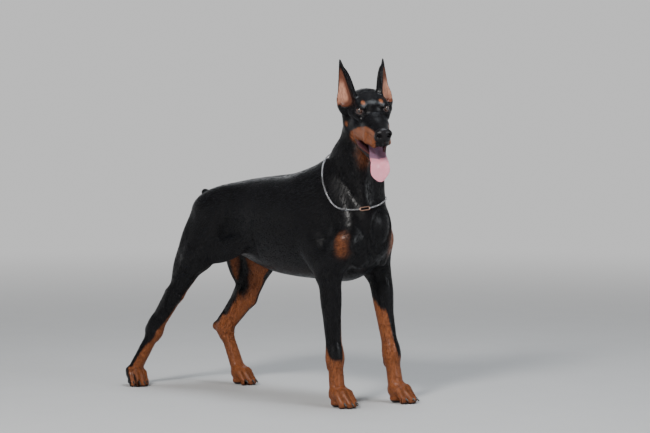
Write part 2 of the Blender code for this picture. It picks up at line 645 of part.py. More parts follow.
def beyond(point, direction, reach=60.0):
    """A block that holds all that lies past a plane."""
    direction = unit(direction)
    across = unit(np.cross((0.0, 1.0, 0.0), direction))
    axes = (across, np.cross(direction, across), direction)
    return Block(point, axes, (-reach, -reach, 0), (reach, reach, 2 * reach))


def part_off(obj, inside=(), outside=()):
    """Keeps what lies in every inside block and in no outside block, half a gap clear of each."""
    for blocks, operation, grow in ((inside, "INTERSECT", -GAP / 2), (outside, "DIFFERENCE", GAP / 2)):
        for one in blocks:
            cutter = one.solid(grow)
            boolean(obj, cutter, operation)
            remove(cutter)
    keep_largest(obj)
    return obj


HEAD_BLOCK = beyond(*HEAD_CUT)
NECK_BLOCK = beyond(*NECK_CUT)
TAIL_BLOCK = beyond(*TAIL_CUT, reach=8)
FLOOR_BLOCK = beyond((0, 0, 0), (0, 0, 1), reach=100)
JAW_BLOCK = Block(at_head(-1.0, 0, -9.1), (FORWARD * 0.978 - UP * 0.208, LEFT, UP * 0.978 + FORWARD * 0.208),
                  (0, -8, -JAW_BLOCK_DEPTH), (22, 8, 0))
NOSE_BLOCK = Block(at_head(11.2, 0, -4.9), (FORWARD, LEFT, UP), (0, -5, 0), (8, 5, 8))


def ear_block(name):
    base, _, axis, _, wide = ear_frame(name)
    tilted = unit(axis + SIDES[name] * LEFT * 0.35)
    ahead = unit(np.cross(wide, tilted))
    return Block(base + axis * 2.0, (ahead, np.cross(tilted, ahead), tilted), (-8, -8, 0), (8, 8, 20))


def foreleg_block(name):
    s = SIDES[name]
    y = sorted((s * 1.0, s * 20.0))
    return Block((0, 0, FORELEG_CUT_HEIGHT), np.eye(3), (4, y[0], -40), (40, y[1], 0))


def forepaw_block(name):
    knuckle, wrist = vec(*FORELEG[name]["knuckle"]), vec(*FORELEG[name]["wrist"])
    return beyond(knuckle * 0.72 + wrist * 0.28, knuckle - wrist, reach=12)


def thigh_block(name):
    s = SIDES[name]
    y = sorted((s * THIGH_INNER_FACE, s * 25.0))
    slope = (0.417, 0, -0.909)
    return Block(THIGH_CORNER, ((-0.909, 0, -0.417), (0, 1, 0), slope), (0, y[0], 0), (70, y[1], 70))


def hindleg_blocks(name):
    """Blocks below the stifle, below the hock and below the pastern."""
    joint = {key: vec(*value) for key, value in HINDLEG[name].items() if key != "turn"}
    stifle, hock, knuckle = joint["stifle"], joint["hock"], joint["knuckle"]
    return (beyond(stifle * 0.7 + hock * 0.3, hock - stifle),
            beyond(hock * 0.76 + knuckle * 0.24, knuckle - hock, reach=14),
            beyond(knuckle * 0.76 + hock * 0.24, knuckle - hock, reach=12))


def make_torso():
    outside = [NECK_BLOCK, TAIL_BLOCK]
    for name in SIDES:
        outside += [foreleg_block(name), thigh_block(name)]
    torso = flesh("torso", (-47, -15, 30), (34, 15, 74), 1.1, 3000)
    return part_off(torso, outside=outside)


def make_neck():
    neck = flesh("neck", (2, -14, 54), (36, 14, 93), 0.8, 1900)
    return part_off(neck, inside=[NECK_BLOCK], outside=[HEAD_BLOCK, JAW_BLOCK])


def box_round(points, margin):
    points = np.array(points)
    return points.min(axis=0) - margin, points.max(axis=0) + margin


def make_head_nodes():
    """The head with its jaw, nose and ears parted off, sockets and the tongue's bed cut in."""
    low, high = box_round([at_head(-3, 0, -10), at_head(9.5, 0, -21)], 4.0)
    tongue = flesh("tongue", low, high, 0.3, 420, tongue_forms())
    bed = flesh_copy(tongue, GAP)
    low, high = box_round([at_head(-12, 0, -4), at_head(12, 0, -3), at_head(4, 0, -14)], 6.5)
    head = part_off(flesh("head", low, high, 0.34, 4300),
                    [HEAD_BLOCK], [JAW_BLOCK, NOSE_BLOCK] + [ear_block(name) for name in SIDES])
    jaw = part_off(flesh("lower_jaw", low, high, 0.4, 3400), [JAW_BLOCK])
    nose = part_off(flesh("nose", *box_round([at_head(12, 0, -3)], 4.5), 0.25, 900), [NOSE_BLOCK])
    for obj in (head, jaw):
        boolean(obj, bed, "DIFFERENCE")
        keep_largest(obj)
    remove(bed)
    for name, s in SIDES.items():
        eye = eyeball("eye_" + name, s, EYE_RADIUS)
        socket = eyeball("socket", s, EYE_RADIUS + GAP)
        boolean(head, socket, "DIFFERENCE")
        remove(socket)
        keep_largest(head)
        dress(eye, "eye")
        base, tip = ear_frame(name)[:2]
        ear = flesh("ear_" + name, *box_round([base - UP * 2, tip], 4.0), 0.3, 900)
        dress(part_off(ear, [ear_block(name)]), "black_coat")
    dress(head, "black_coat")
    dress(jaw, "black_coat")
    dress(nose, "nose_leather")
    dress(tongue, "tongue")


def flesh_copy(obj, grow):
    """A copy of a closed object with its surface moved out."""
    copy = bpy.data.objects.new("cutter", obj.data.copy())
    bpy.context.scene.collection.objects.link(copy)
    for vertex, normal in zip(copy.data.vertices, [v.normal.copy() for v in obj.data.vertices]):
        vertex.co += normal * grow * CM
    return copy


def eyeball(name, s, radius):
    work = bmesh.new()
    bmesh.ops.create_uvsphere(work, u_segments=14, v_segments=9, radius=radius * CM)
    bmesh.ops.translate(work, verts=work.verts, vec=Vector(eye_frame(s)[0] * CM))
    mesh = bpy.data.meshes.new(name)
    work.to_mesh(mesh)
    work.free()
    obj = bpy.data.objects.new(name, mesh)
    bpy.context.scene.collection.objects.link(obj)
    return obj


def make_foreleg(name):
    joint = FORELEG[name]
    y = joint["wrist"][1]
    paw_block = forepaw_block(name)
    leg = flesh("foreleg_" + name, (4, y - 8, 4), (34, y + 8, 42), 0.7, 1000)
    dress(part_off(leg, [foreleg_block(name)], [paw_block]), "black_coat")
    make_paw("forepaw_" + name, joint, paw_block, FOREPAW_SIZE)


def make_hindleg(name):
    joint = HINDLEG[name]
    shin_block, pastern_block, paw_block = hindleg_blocks(name)
    x, y = joint["hock"][0], joint["hock"][1]
    s = SIDES[name]
    y_inner, y_outer = sorted((s * 2.0, s * 19.0))
    thigh = flesh("thigh_" + name, (-52, y_inner, 24), (-12, y_outer, 64), 0.9, 1500)
    dress(part_off(thigh, [thigh_block(name)], [shin_block]), "black_coat")
    shin = flesh("shin_" + name, (x - 10, y - 8, 9), (x + 30, y + 8, 44), 0.6, 1300)
    dress(part_off(shin, [shin_block], [pastern_block]), "black_coat")
    pastern = flesh("hind_pastern_" + name, (x - 14, y - 8, 1), (x + 12, y + 8, 22), 0.5, 900)
    dress(part_off(pastern, [pastern_block], [paw_block]), "tan_coat")
    make_paw("hindpaw_" + name, joint, paw_block, HINDPAW_SIZE)


def uphill(points):
    """The way straight out of the body at each of some points near its surface."""
    nudges = 0.2 * np.eye(3)
    rise = [values_at(BODY, points + nudge) - values_at(BODY, points - nudge) for nudge in nudges]
    rise = np.stack(rise, 1)
    return rise / np.linalg.norm(rise, axis=1, keepdims=True)


def chain_loop(stand_off):
    """Points of the chain's centre line round the neck from its long link, straight over hollows."""
    normal = unit(CHAIN_NORMAL)
    ahead = unit(np.cross(np.cross(normal, (1.0, 0.0, 0.0)), normal))
    across = np.cross(normal, ahead)
    turns = 2 * math.pi * np.arange(CHAIN_POINTS) / CHAIN_POINTS
    rays = np.outer(np.cos(turns), ahead) + np.outer(np.sin(turns), across)
    starts = CHAIN_CENTRE - np.outer(CHAIN_SAG * np.sin(turns) ** 2, (0, 0, 1.0))
    reach = np.linspace(3.0, 16.0, 261)
    radii = []
    for start, ray in zip(starts, rays):
        outside = values_at(BODY, start + np.outer(reach, ray)) > stand_off
        radii.append(reach[np.argmax(outside)])
    flat = np.array(radii)[:, None] * np.stack([np.cos(turns), np.sin(turns)], 1)
    for span in range(1, 9):
        chord = (np.roll(flat, span, axis=0) + np.roll(flat, -span, axis=0)) / 2
        longer = np.linalg.norm(chord, axis=1) > np.linalg.norm(flat, axis=1)
        flat[longer] = chord[longer]
    loop = starts + flat @ np.stack([ahead, across])
    for _ in range(CHAIN_LIFTS):
        loop = (2 * loop + np.roll(loop, 1, axis=0) + np.roll(loop, -1, axis=0)) / 4
        sunk = np.maximum(stand_off - values_at(BODY, loop), 0)
        loop += sunk[:, None] * uphill(loop)
    link = int(np.argmin(np.linalg.norm(loop - LINK_PLACE, axis=1)))
    return np.roll(loop, -link, axis=0)


def tube(name, points, radius, cyclic):
    """A round tube along points, with closed ends."""
    curve = bpy.data.curves.new(name, "CURVE")
    curve.dimensions = "3D"
    curve.bevel_depth, curve.bevel_resolution = radius * CM, 1
    curve.use_fill_caps = not cyclic
    spline = curve.splines.new("POLY")
    spline.points.add(len(points) - 1)
    for spot, place in zip(spline.points, points):
        spot.co = (*(place * CM), 1)
    spline.use_cyclic_u = cyclic
    source = bpy.data.objects.new(name, curve)
    bpy.context.scene.collection.objects.link(source)
    mesh = bpy.data.meshes.new_from_object(source.evaluated_get(bpy.context.evaluated_depsgraph_get()))
    remove(source)
    work = bmesh.new()
    work.from_mesh(mesh)
    bmesh.ops.remove_doubles(work, verts=work.verts, dist=0.001 * CM)
    work.to_mesh(mesh)
    work.free()
    obj = bpy.data.objects.new(name, mesh)
    bpy.context.scene.collection.objects.link(obj)
    return obj


def make_collar():
    """The chain as a tube, open in front, where a plain long link closes it."""
    loop = chain_loop(CHAIN_RADIUS + CHAIN_CLEARANCE)
    middle = loop[0]
    along = unit(loop[1] - loop[-1])
    outward = uphill(loop[:1])[0]
    across = unit(np.cross(along, outward))
    clear, straight_on = LINK_LENGTH / 2 + LINK_WIRE + 0.06, 0.3
    rest = [point for point in loop if np.linalg.norm(point - middle) > clear + 2 * straight_on]
    start, end = ([middle + way * along * (clear + more) for more in (0, straight_on)] for way in (1, -1))
    dress(tube("collar_chain", np.array([*start, *rest, *end[::-1]]), CHAIN_RADIUS, False), "chain_steel")
    link = []
    straight = (LINK_LENGTH - LINK_WIDTH) / 2
    for turn in 2 * math.pi * np.arange(16) / 16:
        run = math.cos(turn) * LINK_WIDTH / 2 + math.copysign(straight, math.cos(turn))
        link.append(middle + outward * 0.05 + along * run + across * math.sin(turn) * LINK_WIDTH / 2)
    dress(tube("collar_link", np.array(link), LINK_WIRE, True), "ring_brass")


def make_paw(node, joint, block, size):
    x, y, z = joint["knuckle"]
    paw = flesh(node, (x - 6, y - 7, -2), (x + 9, y + 7, z + 5), 0.34, 560)
    part_off(paw, [block])
    for _, bend, tip in toes(vec(x, y, z), joint["turn"], size):
        claw = make_claw(bend, tip, size)
        boolean(paw, claw, "UNION")
        remove(claw)
    floor = FLOOR_BLOCK.solid(0)
    boolean(paw, floor, "INTERSECT")
    remove(floor)
    keep_largest(paw)
    dress(paw, "tan_coat")


def make_claw(bend, tip, size):
    """A blunt cone from inside the toe, pointing ahead and down."""
    ahead = unit((tip - bend) * (1, 1, 0))
    root = tip + vec(0, 0, 0.35)
    end = tip + ahead * 1.6 * size - vec(0, 0, 0.95)
    sides = 6
    work = bmesh.new()
    bmesh.ops.create_cone(work, segments=sides, radius1=0.5 * size * CM, radius2=0.17 * CM,
                          depth=np.linalg.norm(end - root) * CM, cap_ends=True, cap_tris=False)
    turn = Vector((0, 0, 1)).rotation_difference(Vector(end - root)).to_matrix().to_4x4()
    turn.translation = Vector((root + end) / 2 * CM)
    bmesh.ops.transform(work, matrix=turn, verts=work.verts)
    mesh = bpy.data.meshes.new("claw")
    work.to_mesh(mesh)
    work.free()
    obj = bpy.data.objects.new("claw", mesh)
    bpy.context.scene.collection.objects.link(obj)
    return obj


def dress(obj, colour):
    """Smooth shading and a material with the part's colour."""
    material = bpy.data.materials.get(colour)
    if material is None:
        tint, roughness, metallic = COLOURS[colour]
        material = bpy.data.materials.new(colour)
        material.use_nodes = True
        shader = material.node_tree.nodes["Principled BSDF"]
        shader.inputs["Base Color"].default_value = (*tint, 1)
        shader.inputs["Roughness"].default_value = roughness
        shader.inputs["Metallic"].default_value = metallic
    obj.data.materials.clear()
    obj.data.materials.append(material)
    obj.data.shade_smooth()
    obj.data.set_sharp_from_angle(angle=math.radians(40))


def stand_at_origin():
    """Moves all the nodes so that the origin is under the middle of the whole."""
    nodes = list(bpy.context.scene.objects)
    corners = np.array([v.co for obj in nodes for v in obj.data.vertices])
    middle = (corners.min(axis=0) + corners.max(axis=0)) / 2
    shift = Vector((-middle[0], -middle[1], -corners[:, 2].min()))
    for obj in nodes:
        obj.data.transform(Matrix.Translation(shift))


def main():
    for obj in list(bpy.context.scene.objects):
        bpy.data.objects.remove(obj)
    dress(make_torso(), "black_coat")
    dress(make_neck(), "black_coat")
    make_head_nodes()
    tail = flesh("tail", (-47.5, -4.5, 53.5), (-37.5, 4.5, 64.5), 0.36, 700)
    dress(part_off(tail, [TAIL_BLOCK]), "black_coat")
    for name in SIDES:
        make_foreleg(name)
        make_hindleg(name)
    make_collar()
    stand_at_origin()


main()
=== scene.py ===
"""Looks of the doberman pinscher: one skin with its short coat, eyes, claws, tongue and chain.

The body is one implicit form: tapered rods, spindles and one lofted trunk, blended smoothly. Lengths
are in centimetres of a dog 70 cm tall at the withers, in the body's own axes: +X is forward, +Y the
dog's left, the floor is z = 0. place_of turns them into metres of the frame.
"""
import math
from itertools import product

import bpy
import numpy as np
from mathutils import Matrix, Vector
from mathutils.bvhtree import BVHTree


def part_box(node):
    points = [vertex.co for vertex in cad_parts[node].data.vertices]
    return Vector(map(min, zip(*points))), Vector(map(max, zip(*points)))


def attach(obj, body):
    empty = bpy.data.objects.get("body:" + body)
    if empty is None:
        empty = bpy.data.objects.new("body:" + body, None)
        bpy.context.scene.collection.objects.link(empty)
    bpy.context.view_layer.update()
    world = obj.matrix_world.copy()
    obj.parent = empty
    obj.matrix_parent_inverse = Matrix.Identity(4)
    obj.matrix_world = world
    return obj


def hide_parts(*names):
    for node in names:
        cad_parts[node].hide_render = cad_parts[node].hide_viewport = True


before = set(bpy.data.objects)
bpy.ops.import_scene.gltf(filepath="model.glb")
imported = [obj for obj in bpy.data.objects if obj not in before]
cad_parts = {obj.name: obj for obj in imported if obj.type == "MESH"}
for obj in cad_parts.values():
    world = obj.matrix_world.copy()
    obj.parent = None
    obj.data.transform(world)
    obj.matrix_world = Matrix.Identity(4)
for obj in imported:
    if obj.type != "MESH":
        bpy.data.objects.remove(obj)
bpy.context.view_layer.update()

CM = 0.01
# The body's value well away from every form
OUTSIDE = 5.0
SIDES = {"right": -1, "left": 1}

# Head: the midpoint between the eyes, how the head is turned, tipped and rolled, and its places as
# lengths forward, left and up from that midpoint
EYE_LINE = np.array((30.1, -6.7, 86.1))
HEAD_YAW, HEAD_PITCH, HEAD_ROLL = (math.radians(v) for v in (-34, -20, 5.5))
JAW_HINGE = (-4.5, -2.8)
JAW_GAPE = math.radians(25)
UPPER_LIP_HANG = {"right": 1.4, "left": 0.75}
EYE_PLACE = (-0.75, 3.55, -0.15)
EYE_RADIUS = 1.2
EAR_BASE = {"right": (-7.2, -5.6, 0.6), "left": (-7.2, 4.9, 0.6)}
EAR_TIP = {"right": (-11.2, -6.9, 11.5), "left": (-10.6, 5.6, 10.8)}
EAR_HALF_WIDTH = {"right": 3.5, "left": 2.8}
EAR_BELL = {"right": 2.1, "left": 0.7}
EAR_TURN = math.radians(45)
# The tongue's middle line: along the floor of the mouth, over the chin, and hanging from there
TONGUE_PATH = ((-2.2, 0.4, -10.8), (1.8, 0.6, -11.9), (5.6, 0.1, -12.8), (7.6, 0, -13.4),
               (8.5, -0.1, -14.6), (9.1, -0.2, -16.4), (9.5, -0.1, -17.8))

# Trunk stations: x, top, bottom, half width, height of the widest point
TRUNK = (
    (-43.4, 58.0, 52.8, 2.6, 55.4),
    (-41.0, 60.3, 49.5, 5.0, 54.6),
    (-36.8, 61.7, 45.5, 7.2, 54.0),
    (-30.0, 63.4, 42.5, 8.2, 53.5),
    (-22.0, 64.8, 39.3, 8.8, 53.0),
    (-14.0, 65.8, 37.0, 10.3, 52.5),
    (-5.0, 66.9, 36.0, 11.6, 52.0),
    (3.0, 69.0, 35.7, 11.8, 51.5),
    (10.0, 69.5, 35.3, 10.8, 50.0),
    (16.0, 66.5, 36.2, 9.3, 49.0),
    (21.5, 61.0, 39.4, 7.6, 48.5),
    (25.5, 56.0, 43.5, 5.0, 48.5),
)

# Joints of each leg, and the way its foot turns out, degrees
FORELEG = {
    "right": dict(top=(8.5, -4.5, 65.5), shoulder=(21.2, -8.2, 47.8), elbow=(15.6, -9.4, 38.0),
                  wrist=(17.8, -9.2, 14.0), knuckle=(18.7, -9.2, 4.6), turn=-4),
    "left": dict(top=(9.0, 4.5, 65.5), shoulder=(20.5, 7.2, 48.2), elbow=(17.4, 10.1, 38.4),
                 wrist=(22.9, 10.0, 14.0), knuckle=(24.6, 10.0, 4.6), turn=4),
}
HINDLEG = {
    "right": dict(hip=(-35.0, -5.8, 53.5), stifle=(-38.4, -9.6, 40.8), shin=(-46.4, -10.6, 29.2),
                  hock=(-54.3, -11.5, 17.6), heel=(-56.5, -11.5, 17.6), knuckle=(-61.7, -13.5, 4.6),
                  turn=-22),
    "left": dict(hip=(-35.0, 5.8, 53.5), stifle=(-31.2, 9.8, 38.6), shin=(-36.6, 9.7, 28.4),
                 hock=(-44.6, 9.5, 16.8), heel=(-48.2, 9.5, 17.6), knuckle=(-39.6, 10.0, 4.6),
                 turn=4),
}
# How far the knee and the middle of the shin reach in front of their line and behind it
STIFLE_DEPTHS = {"right": (3.5, 4.4), "left": (3.0, 5.8)}
SHIN_DEPTHS = {"right": (2.5, 2.7), "left": (3.1, 5.0)}
FOREPAW_SIZE, HINDPAW_SIZE = 1.0, 0.93

# Collar: a point inside the neck, the plane that the chain hangs in, how far it sags at the sides and
# where its long link is; its sizes; its line's points, the widest stretch that it spans straight,
# rounds of smoothing, the nudge that finds the way out of the body, and the lengths tried outwards
CHAIN_CENTRE, CHAIN_NORMAL, CHAIN_SAG = (17.0, 0.0, 66.8), (0.56, -0.11, 0.7), 6.6
LINK_PLACE = (25.7, -4.9, 57.4)
CHAIN_RADIUS = 0.27
CHAIN_POINTS, CHAIN_SPANS, CHAIN_LIFTS, CHAIN_NUDGE = 60, 8, 6, 0.2
CHAIN_REACH = np.linspace(3.0, 16.0, 261)
LINK_LENGTH, LINK_WIDTH, LINK_WIRE = 2.8, 0.9, 0.17


def vec(*values):
    return np.array(values, float)


def unit(v):
    v = np.asarray(v, float)
    return v / np.linalg.norm(v)


def head_axes():
    """The head's own forward, left and up directions."""
    level = vec(math.cos(HEAD_YAW), math.sin(HEAD_YAW), 0)
    forward = level * math.cos(HEAD_PITCH) + vec(0, 0, math.sin(HEAD_PITCH))
    left = vec(-math.sin(HEAD_YAW), math.cos(HEAD_YAW), 0)
    up = np.cross(forward, left)
    c, s = math.cos(HEAD_ROLL), math.sin(HEAD_ROLL)
    return forward, left * c + up * s, up * c - left * s


FORWARD, LEFT, UP = head_axes()


def at_head(f, l, u):
    """A point given from the midpoint of the eyes, along the head's forward, left and up."""
    return EYE_LINE + f * FORWARD + l * LEFT + u * UP


def at_jaw(f, l, u):
    """A point given for the closed jaw, swung open about its hinge."""
    x, z = f - JAW_HINGE[0], u - JAW_HINGE[1]
    c, s = math.cos(JAW_GAPE), math.sin(JAW_GAPE)
    return at_head(JAW_HINGE[0] + x * c + z * s, l, JAW_HINGE[1] + z * c - x * s)


def oval_distance(q, semi):
    """About the distance from an ellipsoid, for points given along its three half axes."""
    k = np.linalg.norm(q / semi, axis=1)
    steep = np.linalg.norm(q / semi**2, axis=1)
    return np.where(steep > 1e-6, k * (k - 1) / np.maximum(steep, 1e-6), -semi.min(axis=-1))


class Rod:
    """A tapered rod of oval section; radii are (side, front, back), or one number for all."""

    def __init__(self, start, end, start_radii, end_radii, blend, side=(0, 1, 0), cut=False):
        self.start, self.end = np.asarray(start, float), np.asarray(end, float)
        self.length = np.linalg.norm(self.end - self.start)
        self.axis = unit(self.end - self.start)
        self.side = unit(np.asarray(side, float) - self.axis * np.dot(side, self.axis))
        self.front = np.cross(self.side, self.axis)
        self.radii = [np.broadcast_to(radii, 3).astype(float) for radii in (start_radii, end_radii)]
        self.blend, self.cut = blend, cut
        reach = max(self.radii[0].max(), self.radii[1].max()) + blend
        self.low = np.minimum(self.start, self.end) - reach
        self.high = np.maximum(self.start, self.end) + reach

    def distance(self, points):
        q = points - self.start
        along = q @ self.axis
        t = np.clip(along / self.length, 0, 1)
        s, f = q @ self.side, q @ self.front
        over = along - t * self.length
        r = self.radii[0] * (1 - t[:, None]) + self.radii[1] * t[:, None]
        rs, rf = r[:, 0], np.where(f > 0, r[:, 1], r[:, 2])
        return oval_distance(np.stack([s, f, over], 1), np.stack([rs, rf, np.sqrt(rs * rf)], 1))


class Spindle(Rod):
    """An ellipsoid whose long axis runs from start to end; radii are (side, front), or one number."""

    def __init__(self, start, end, radii, blend, side=(0, 1, 0), cut=False):
        width, depth = np.broadcast_to(radii, 2)
        super().__init__(start, end, (width, depth, depth), (width, depth, depth), blend, side, cut)
        self.semi = vec(self.length / 2, width, depth)
        self.middle = (self.start + self.end) / 2
        reach = self.semi.max() + blend
        self.low, self.high = self.middle - reach, self.middle + reach

    def distance(self, points):
        q = points - self.middle
        return oval_distance(np.stack([q @ self.axis, q @ self.side, q @ self.front], 1), self.semi)


class Trunk:
    """A loft along X through the trunk's stations, rounder below than above."""

    POWER_ABOVE, POWER_BELOW = 2.1, 1.9

    def __init__(self, stations, blend):
        self.stations = np.array(stations, float)
        self.blend, self.cut = blend, False
        reach = self.stations[:, 3].max() + blend
        self.low = vec(self.stations[0, 0] - blend, -reach, self.stations[:, 2].min() - blend)
        self.high = vec(self.stations[-1, 0] + blend, reach, self.stations[:, 1].max() + blend)

    def section(self, x):
        xs, values = self.stations[:, 0], self.stations[:, 1:]
        x = np.clip(x, xs[0], xs[-1])
        i = np.clip(np.searchsorted(xs, x) - 1, 0, len(xs) - 2)
        slope = np.gradient(values, xs, axis=0)
        h = (xs[i + 1] - xs[i])[:, None]
        t = (x - xs[i])[:, None] / h
        start = (2 * t**3 - 3 * t**2 + 1) * values[i] + (t**3 - 2 * t**2 + t) * h * slope[i]
        return start + (3 * t**2 - 2 * t**3) * values[i + 1] + (t**3 - t**2) * h * slope[i + 1]

    def distance(self, points):
        top, bottom, width, middle = self.section(points[:, 0]).T
        rise = points[:, 2] - middle
        height = np.where(rise > 0, top - middle, middle - bottom)
        power = np.where(rise > 0, self.POWER_ABOVE, self.POWER_BELOW)
        u, v = np.abs(points[:, 1]) / width + 1e-6, np.abs(rise) / height + 1e-6
        k = (u**power + v**power) ** (1 / power)
        steep = np.hypot((u / k) ** (power - 1) / width, (v / k) ** (power - 1) / height)
        across = (k - 1) / steep
        over = np.maximum(self.stations[0, 0] - points[:, 0], points[:, 0] - self.stations[-1, 0])
        return np.where(over > 0, np.maximum(across, 0) + over, np.maximum(across, over))


def in_head(points, radii):
    """Turns head radii given as (side, up, down) into a rod's own (side, front, back)."""
    return [radius if np.isscalar(radius) else (radius[0], radius[2], radius[1]) for radius in radii]


def head_rod(start, end, start_radii, end_radii, blend, place=at_head, cut=False):
    """A rod of the head from back to front; radii are (side, up, down)."""
    first, last = in_head((start, end), (start_radii, end_radii))
    return Rod(place(*start), place(*end), first, last, blend, side=LEFT, cut=cut)


def head_spindle(start, end, radii, blend, place=at_head, cut=False):
    return Spindle(place(*start), place(*end), radii, blend, side=LEFT, cut=cut)


def skull_forms():
    forms = [
        head_rod((-9.0, 0, -0.9), (-2.5, 0, -0.7), (5.0, 3.2, 4.6), (4.8, 3.0, 4.4), 1.0),
        head_spindle((-13.2, 0, 0.1), (0.8, 0, 0.1), (4.4, 2.4), 1.0),
        head_rod((-1.5, 0, -3.0), (4.0, 0, -3.7), (4.3, 2.6, 3.6), (3.6, 2.8, 2.9), 1.6),
        head_rod((3.0, 0, -3.7), (10.9, 0, -4.0), (3.6, 2.85, 2.9), (2.5, 2.6, 2.5), 1.0),
        head_rod((-8.0, 0, -6.0), (-2.6, 0, -8.6), (4.3, 3.4, 3.4), (3.9, 3.0, 3.2), 1.5),
    ]
    for s in SIDES.values():
        forms += [
            head_spindle((-12.0, s * 2.7, 0.5), (-2.0, s * 2.5, 0.6), (2.3, 1.75), 0.8),
            head_rod((-8.0, s * 5.2, -0.4), (-3.4, s * 5.25, -1.5), 1.2, 1.1, 1.2),
            head_rod((-9.8, s * 4.9, -1.8), (-8.6, s * 4.4, -6.6), 2.5, 2.3, 1.6),
            head_rod((-3.4, s * 5.25, -1.5), (1.0, s * 3.9, -2.3), 1.1, 0.8, 1.0),
            head_rod((-6.5, s * 4.0, -7.4), (-3.0, s * 4.3, -2.8), (1.3, 2.2, 2.2), (1.2, 2.0, 1.9), 1.4),
            head_spindle((-4.2, s * 4.2, 1.3), (1.2, s * 2.7, 0.8), (1.1, 0.6), 1.0),
            head_rod((-1.8, s * 5.35, -1.6), (1.2, s * 3.75, -2.6), 0.35, 0.35, 0.5),
            head_rod((1.2, s * 3.75, -2.6), (2.8, s * 2.5, -1.9), 0.35, 0.3, 0.5),
        ]
    return forms


def upper_lip_forms():
    forms = []
    for name, s in SIDES.items():
        hang = UPPER_LIP_HANG[name]
        forms += [
            head_rod((-2.4, s * 4.0, -7.7), (4.8, s * 3.1, -7.0), (0.9, 2.6, 1.6), (0.8, 2.2, hang), 1.0),
            head_rod((4.8, s * 3.1, -7.0), (9.6, s * 2.0, -6.9), (0.8, 2.2, hang), (0.8, 1.9, hang - 0.3),
                     0.6),
            head_rod((9.4, s * 1.95, -6.6), (11.6, s * 0.7, -6.1), (0.8, 1.4, 1.0), (0.8, 1.2, 0.9), 0.5),
        ]
    return forms


def mouth_forms():
    """The palate between the upper lips, and the floor of the open mouth."""
    return [
        head_rod((-1.8, 0, -8.6), (9.4, 0, -7.9), (2.8, 1.8, 1.5), (1.6, 1.5, 1.5), 0.5, cut=True),
        head_rod((-3.0, 0, -10.1), (6.6, 0, -11.4), (4.2, 0.8, 1.0), (4.2, 2.2, 0.7), 0.4, cut=True),
        head_rod((-2.4, 0, -10.4), (6.2, 0, -12.2), (2.7, 1.5, 1.0), (1.7, 1.5, 1.0), 0.5, cut=True),
    ]


def jaw_forms():
    forms = [
        head_rod((-3.5, 0, -9.4), (8.6, 0, -9.4), (3.4, 0.9, 2.2), (1.5, 0.7, 0.9), 1.2, place=at_jaw),
        head_spindle((7.4, 0, -8.9), (11.2, 0, -8.7), (1.95, 1.35), 0.6, place=at_jaw),
    ]
    for s in SIDES.values():
        forms += [
            head_rod((-3.6, s * 4.0, -7.4), (2.6, s * 3.0, -8.7), (1.0, 2.0, 1.6), (0.9, 1.3, 1.9), 1.2,
                     at_jaw),
            head_rod((2.6, s * 3.0, -8.7), (9.3, s * 1.1, -8.7), (0.8, 1.1, 1.9), (0.8, 1.0, 1.3), 0.7,
                     at_jaw),
        ]
    return forms


def lower_lip_forms():
    forms = []
    for s in SIDES.values():
        corner, side = (-3.9, s * 3.9, -9.5), (-0.2, s * 3.5, -11.5)
        front, middle = (3.4, s * 2.4, -12.5), (6.1, s * 1.2, -13.4)
        forms += [
            head_rod(corner, side, 0.75, 0.65, 0.7),
            head_rod(side, front, 0.65, 0.55, 0.5),
            head_rod(front, middle, 0.55, 0.5, 0.4),
        ]
    return forms


def nose_forms():
    forms = [
        Spindle(at_head(12.0, -2.6, -3.0), at_head(12.0, 2.6, -3.0), (1.45, 1.7), 0.5, side=FORWARD),
        head_spindle((10.4, 0, -2.4), (13.1, 0, -2.6), (1.8, 1.2), 0.4),
        head_spindle((11.6, 0, -4.6), (12.9, 0, -4.9), (1.0, 1.2), 0.4),
        head_rod((12.8, 0, -4.4), (12.2, 0, -7.4), 0.12, 0.14, 0.3, cut=True),
    ]
    for s in SIDES.values():
        forms += [
            head_spindle((12.1, s * 1.5, -3.2), (14.1, s * 1.3, -3.1), (0.68, 0.52), 0.25, cut=True),
            head_rod((12.3, s * 2.55, -3.9), (13.3, s * 1.7, -3.5), 0.16, 0.22, 0.2, cut=True),
        ]
    return forms


def ear_frame(name):
    """Base, tip, the way the cup opens, and the way the ear is wide."""
    s = SIDES[name]
    base, tip = at_head(*EAR_BASE[name]), at_head(*EAR_TIP[name])
    axis = unit(tip - base)
    opening = FORWARD * math.cos(EAR_TURN) + s * LEFT * math.sin(EAR_TURN)
    opening = unit(opening - axis * np.dot(opening, axis))
    return base, tip, axis, opening, np.cross(opening, axis)


def ear_forms(name):
    base, tip, axis, opening, wide = ear_frame(name)
    out = SIDES[name] * LEFT
    width, bell = EAR_HALF_WIDTH[name], EAR_BELL[name]
    inner = -out * 0.85 + FORWARD * 0.35
    low, high = base + opening * 1.35, tip + opening * 0.5 - axis * 2.0
    return [
        Rod(base, tip, (width, 1.9, 1.9), (0.35, 0.25, 0.25), 0.8, side=wide),
        Spindle(base - axis * 4.5 + out * 0.5, base + axis * 3.0 + out * 0.5, (2.5, 2.1), 1.2, side=wide),
        Spindle(base - axis * 4.6 + out * bell * 0.5, base + axis * bell + out * bell, 1.7, 1.2, side=wide),
        Spindle(base + inner * 1.9 - axis, base + inner * 0.9 + axis * 9.0, (1.35, 0.75), 0.8, side=wide),
        Rod(low, high, (width - 0.6, 1.5, 1.5), (0.3, 0.25, 0.25), 0.35, side=wide, cut=True),
    ]


def eye_frame(s):
    """Centre, gaze and the line from corner to corner of one eye."""
    gaze = unit(FORWARD * 0.84 + s * LEFT * 0.54)
    return at_head(EYE_PLACE[0], s * EYE_PLACE[1], EYE_PLACE[2]), gaze, unit(np.cross(UP, gaze))


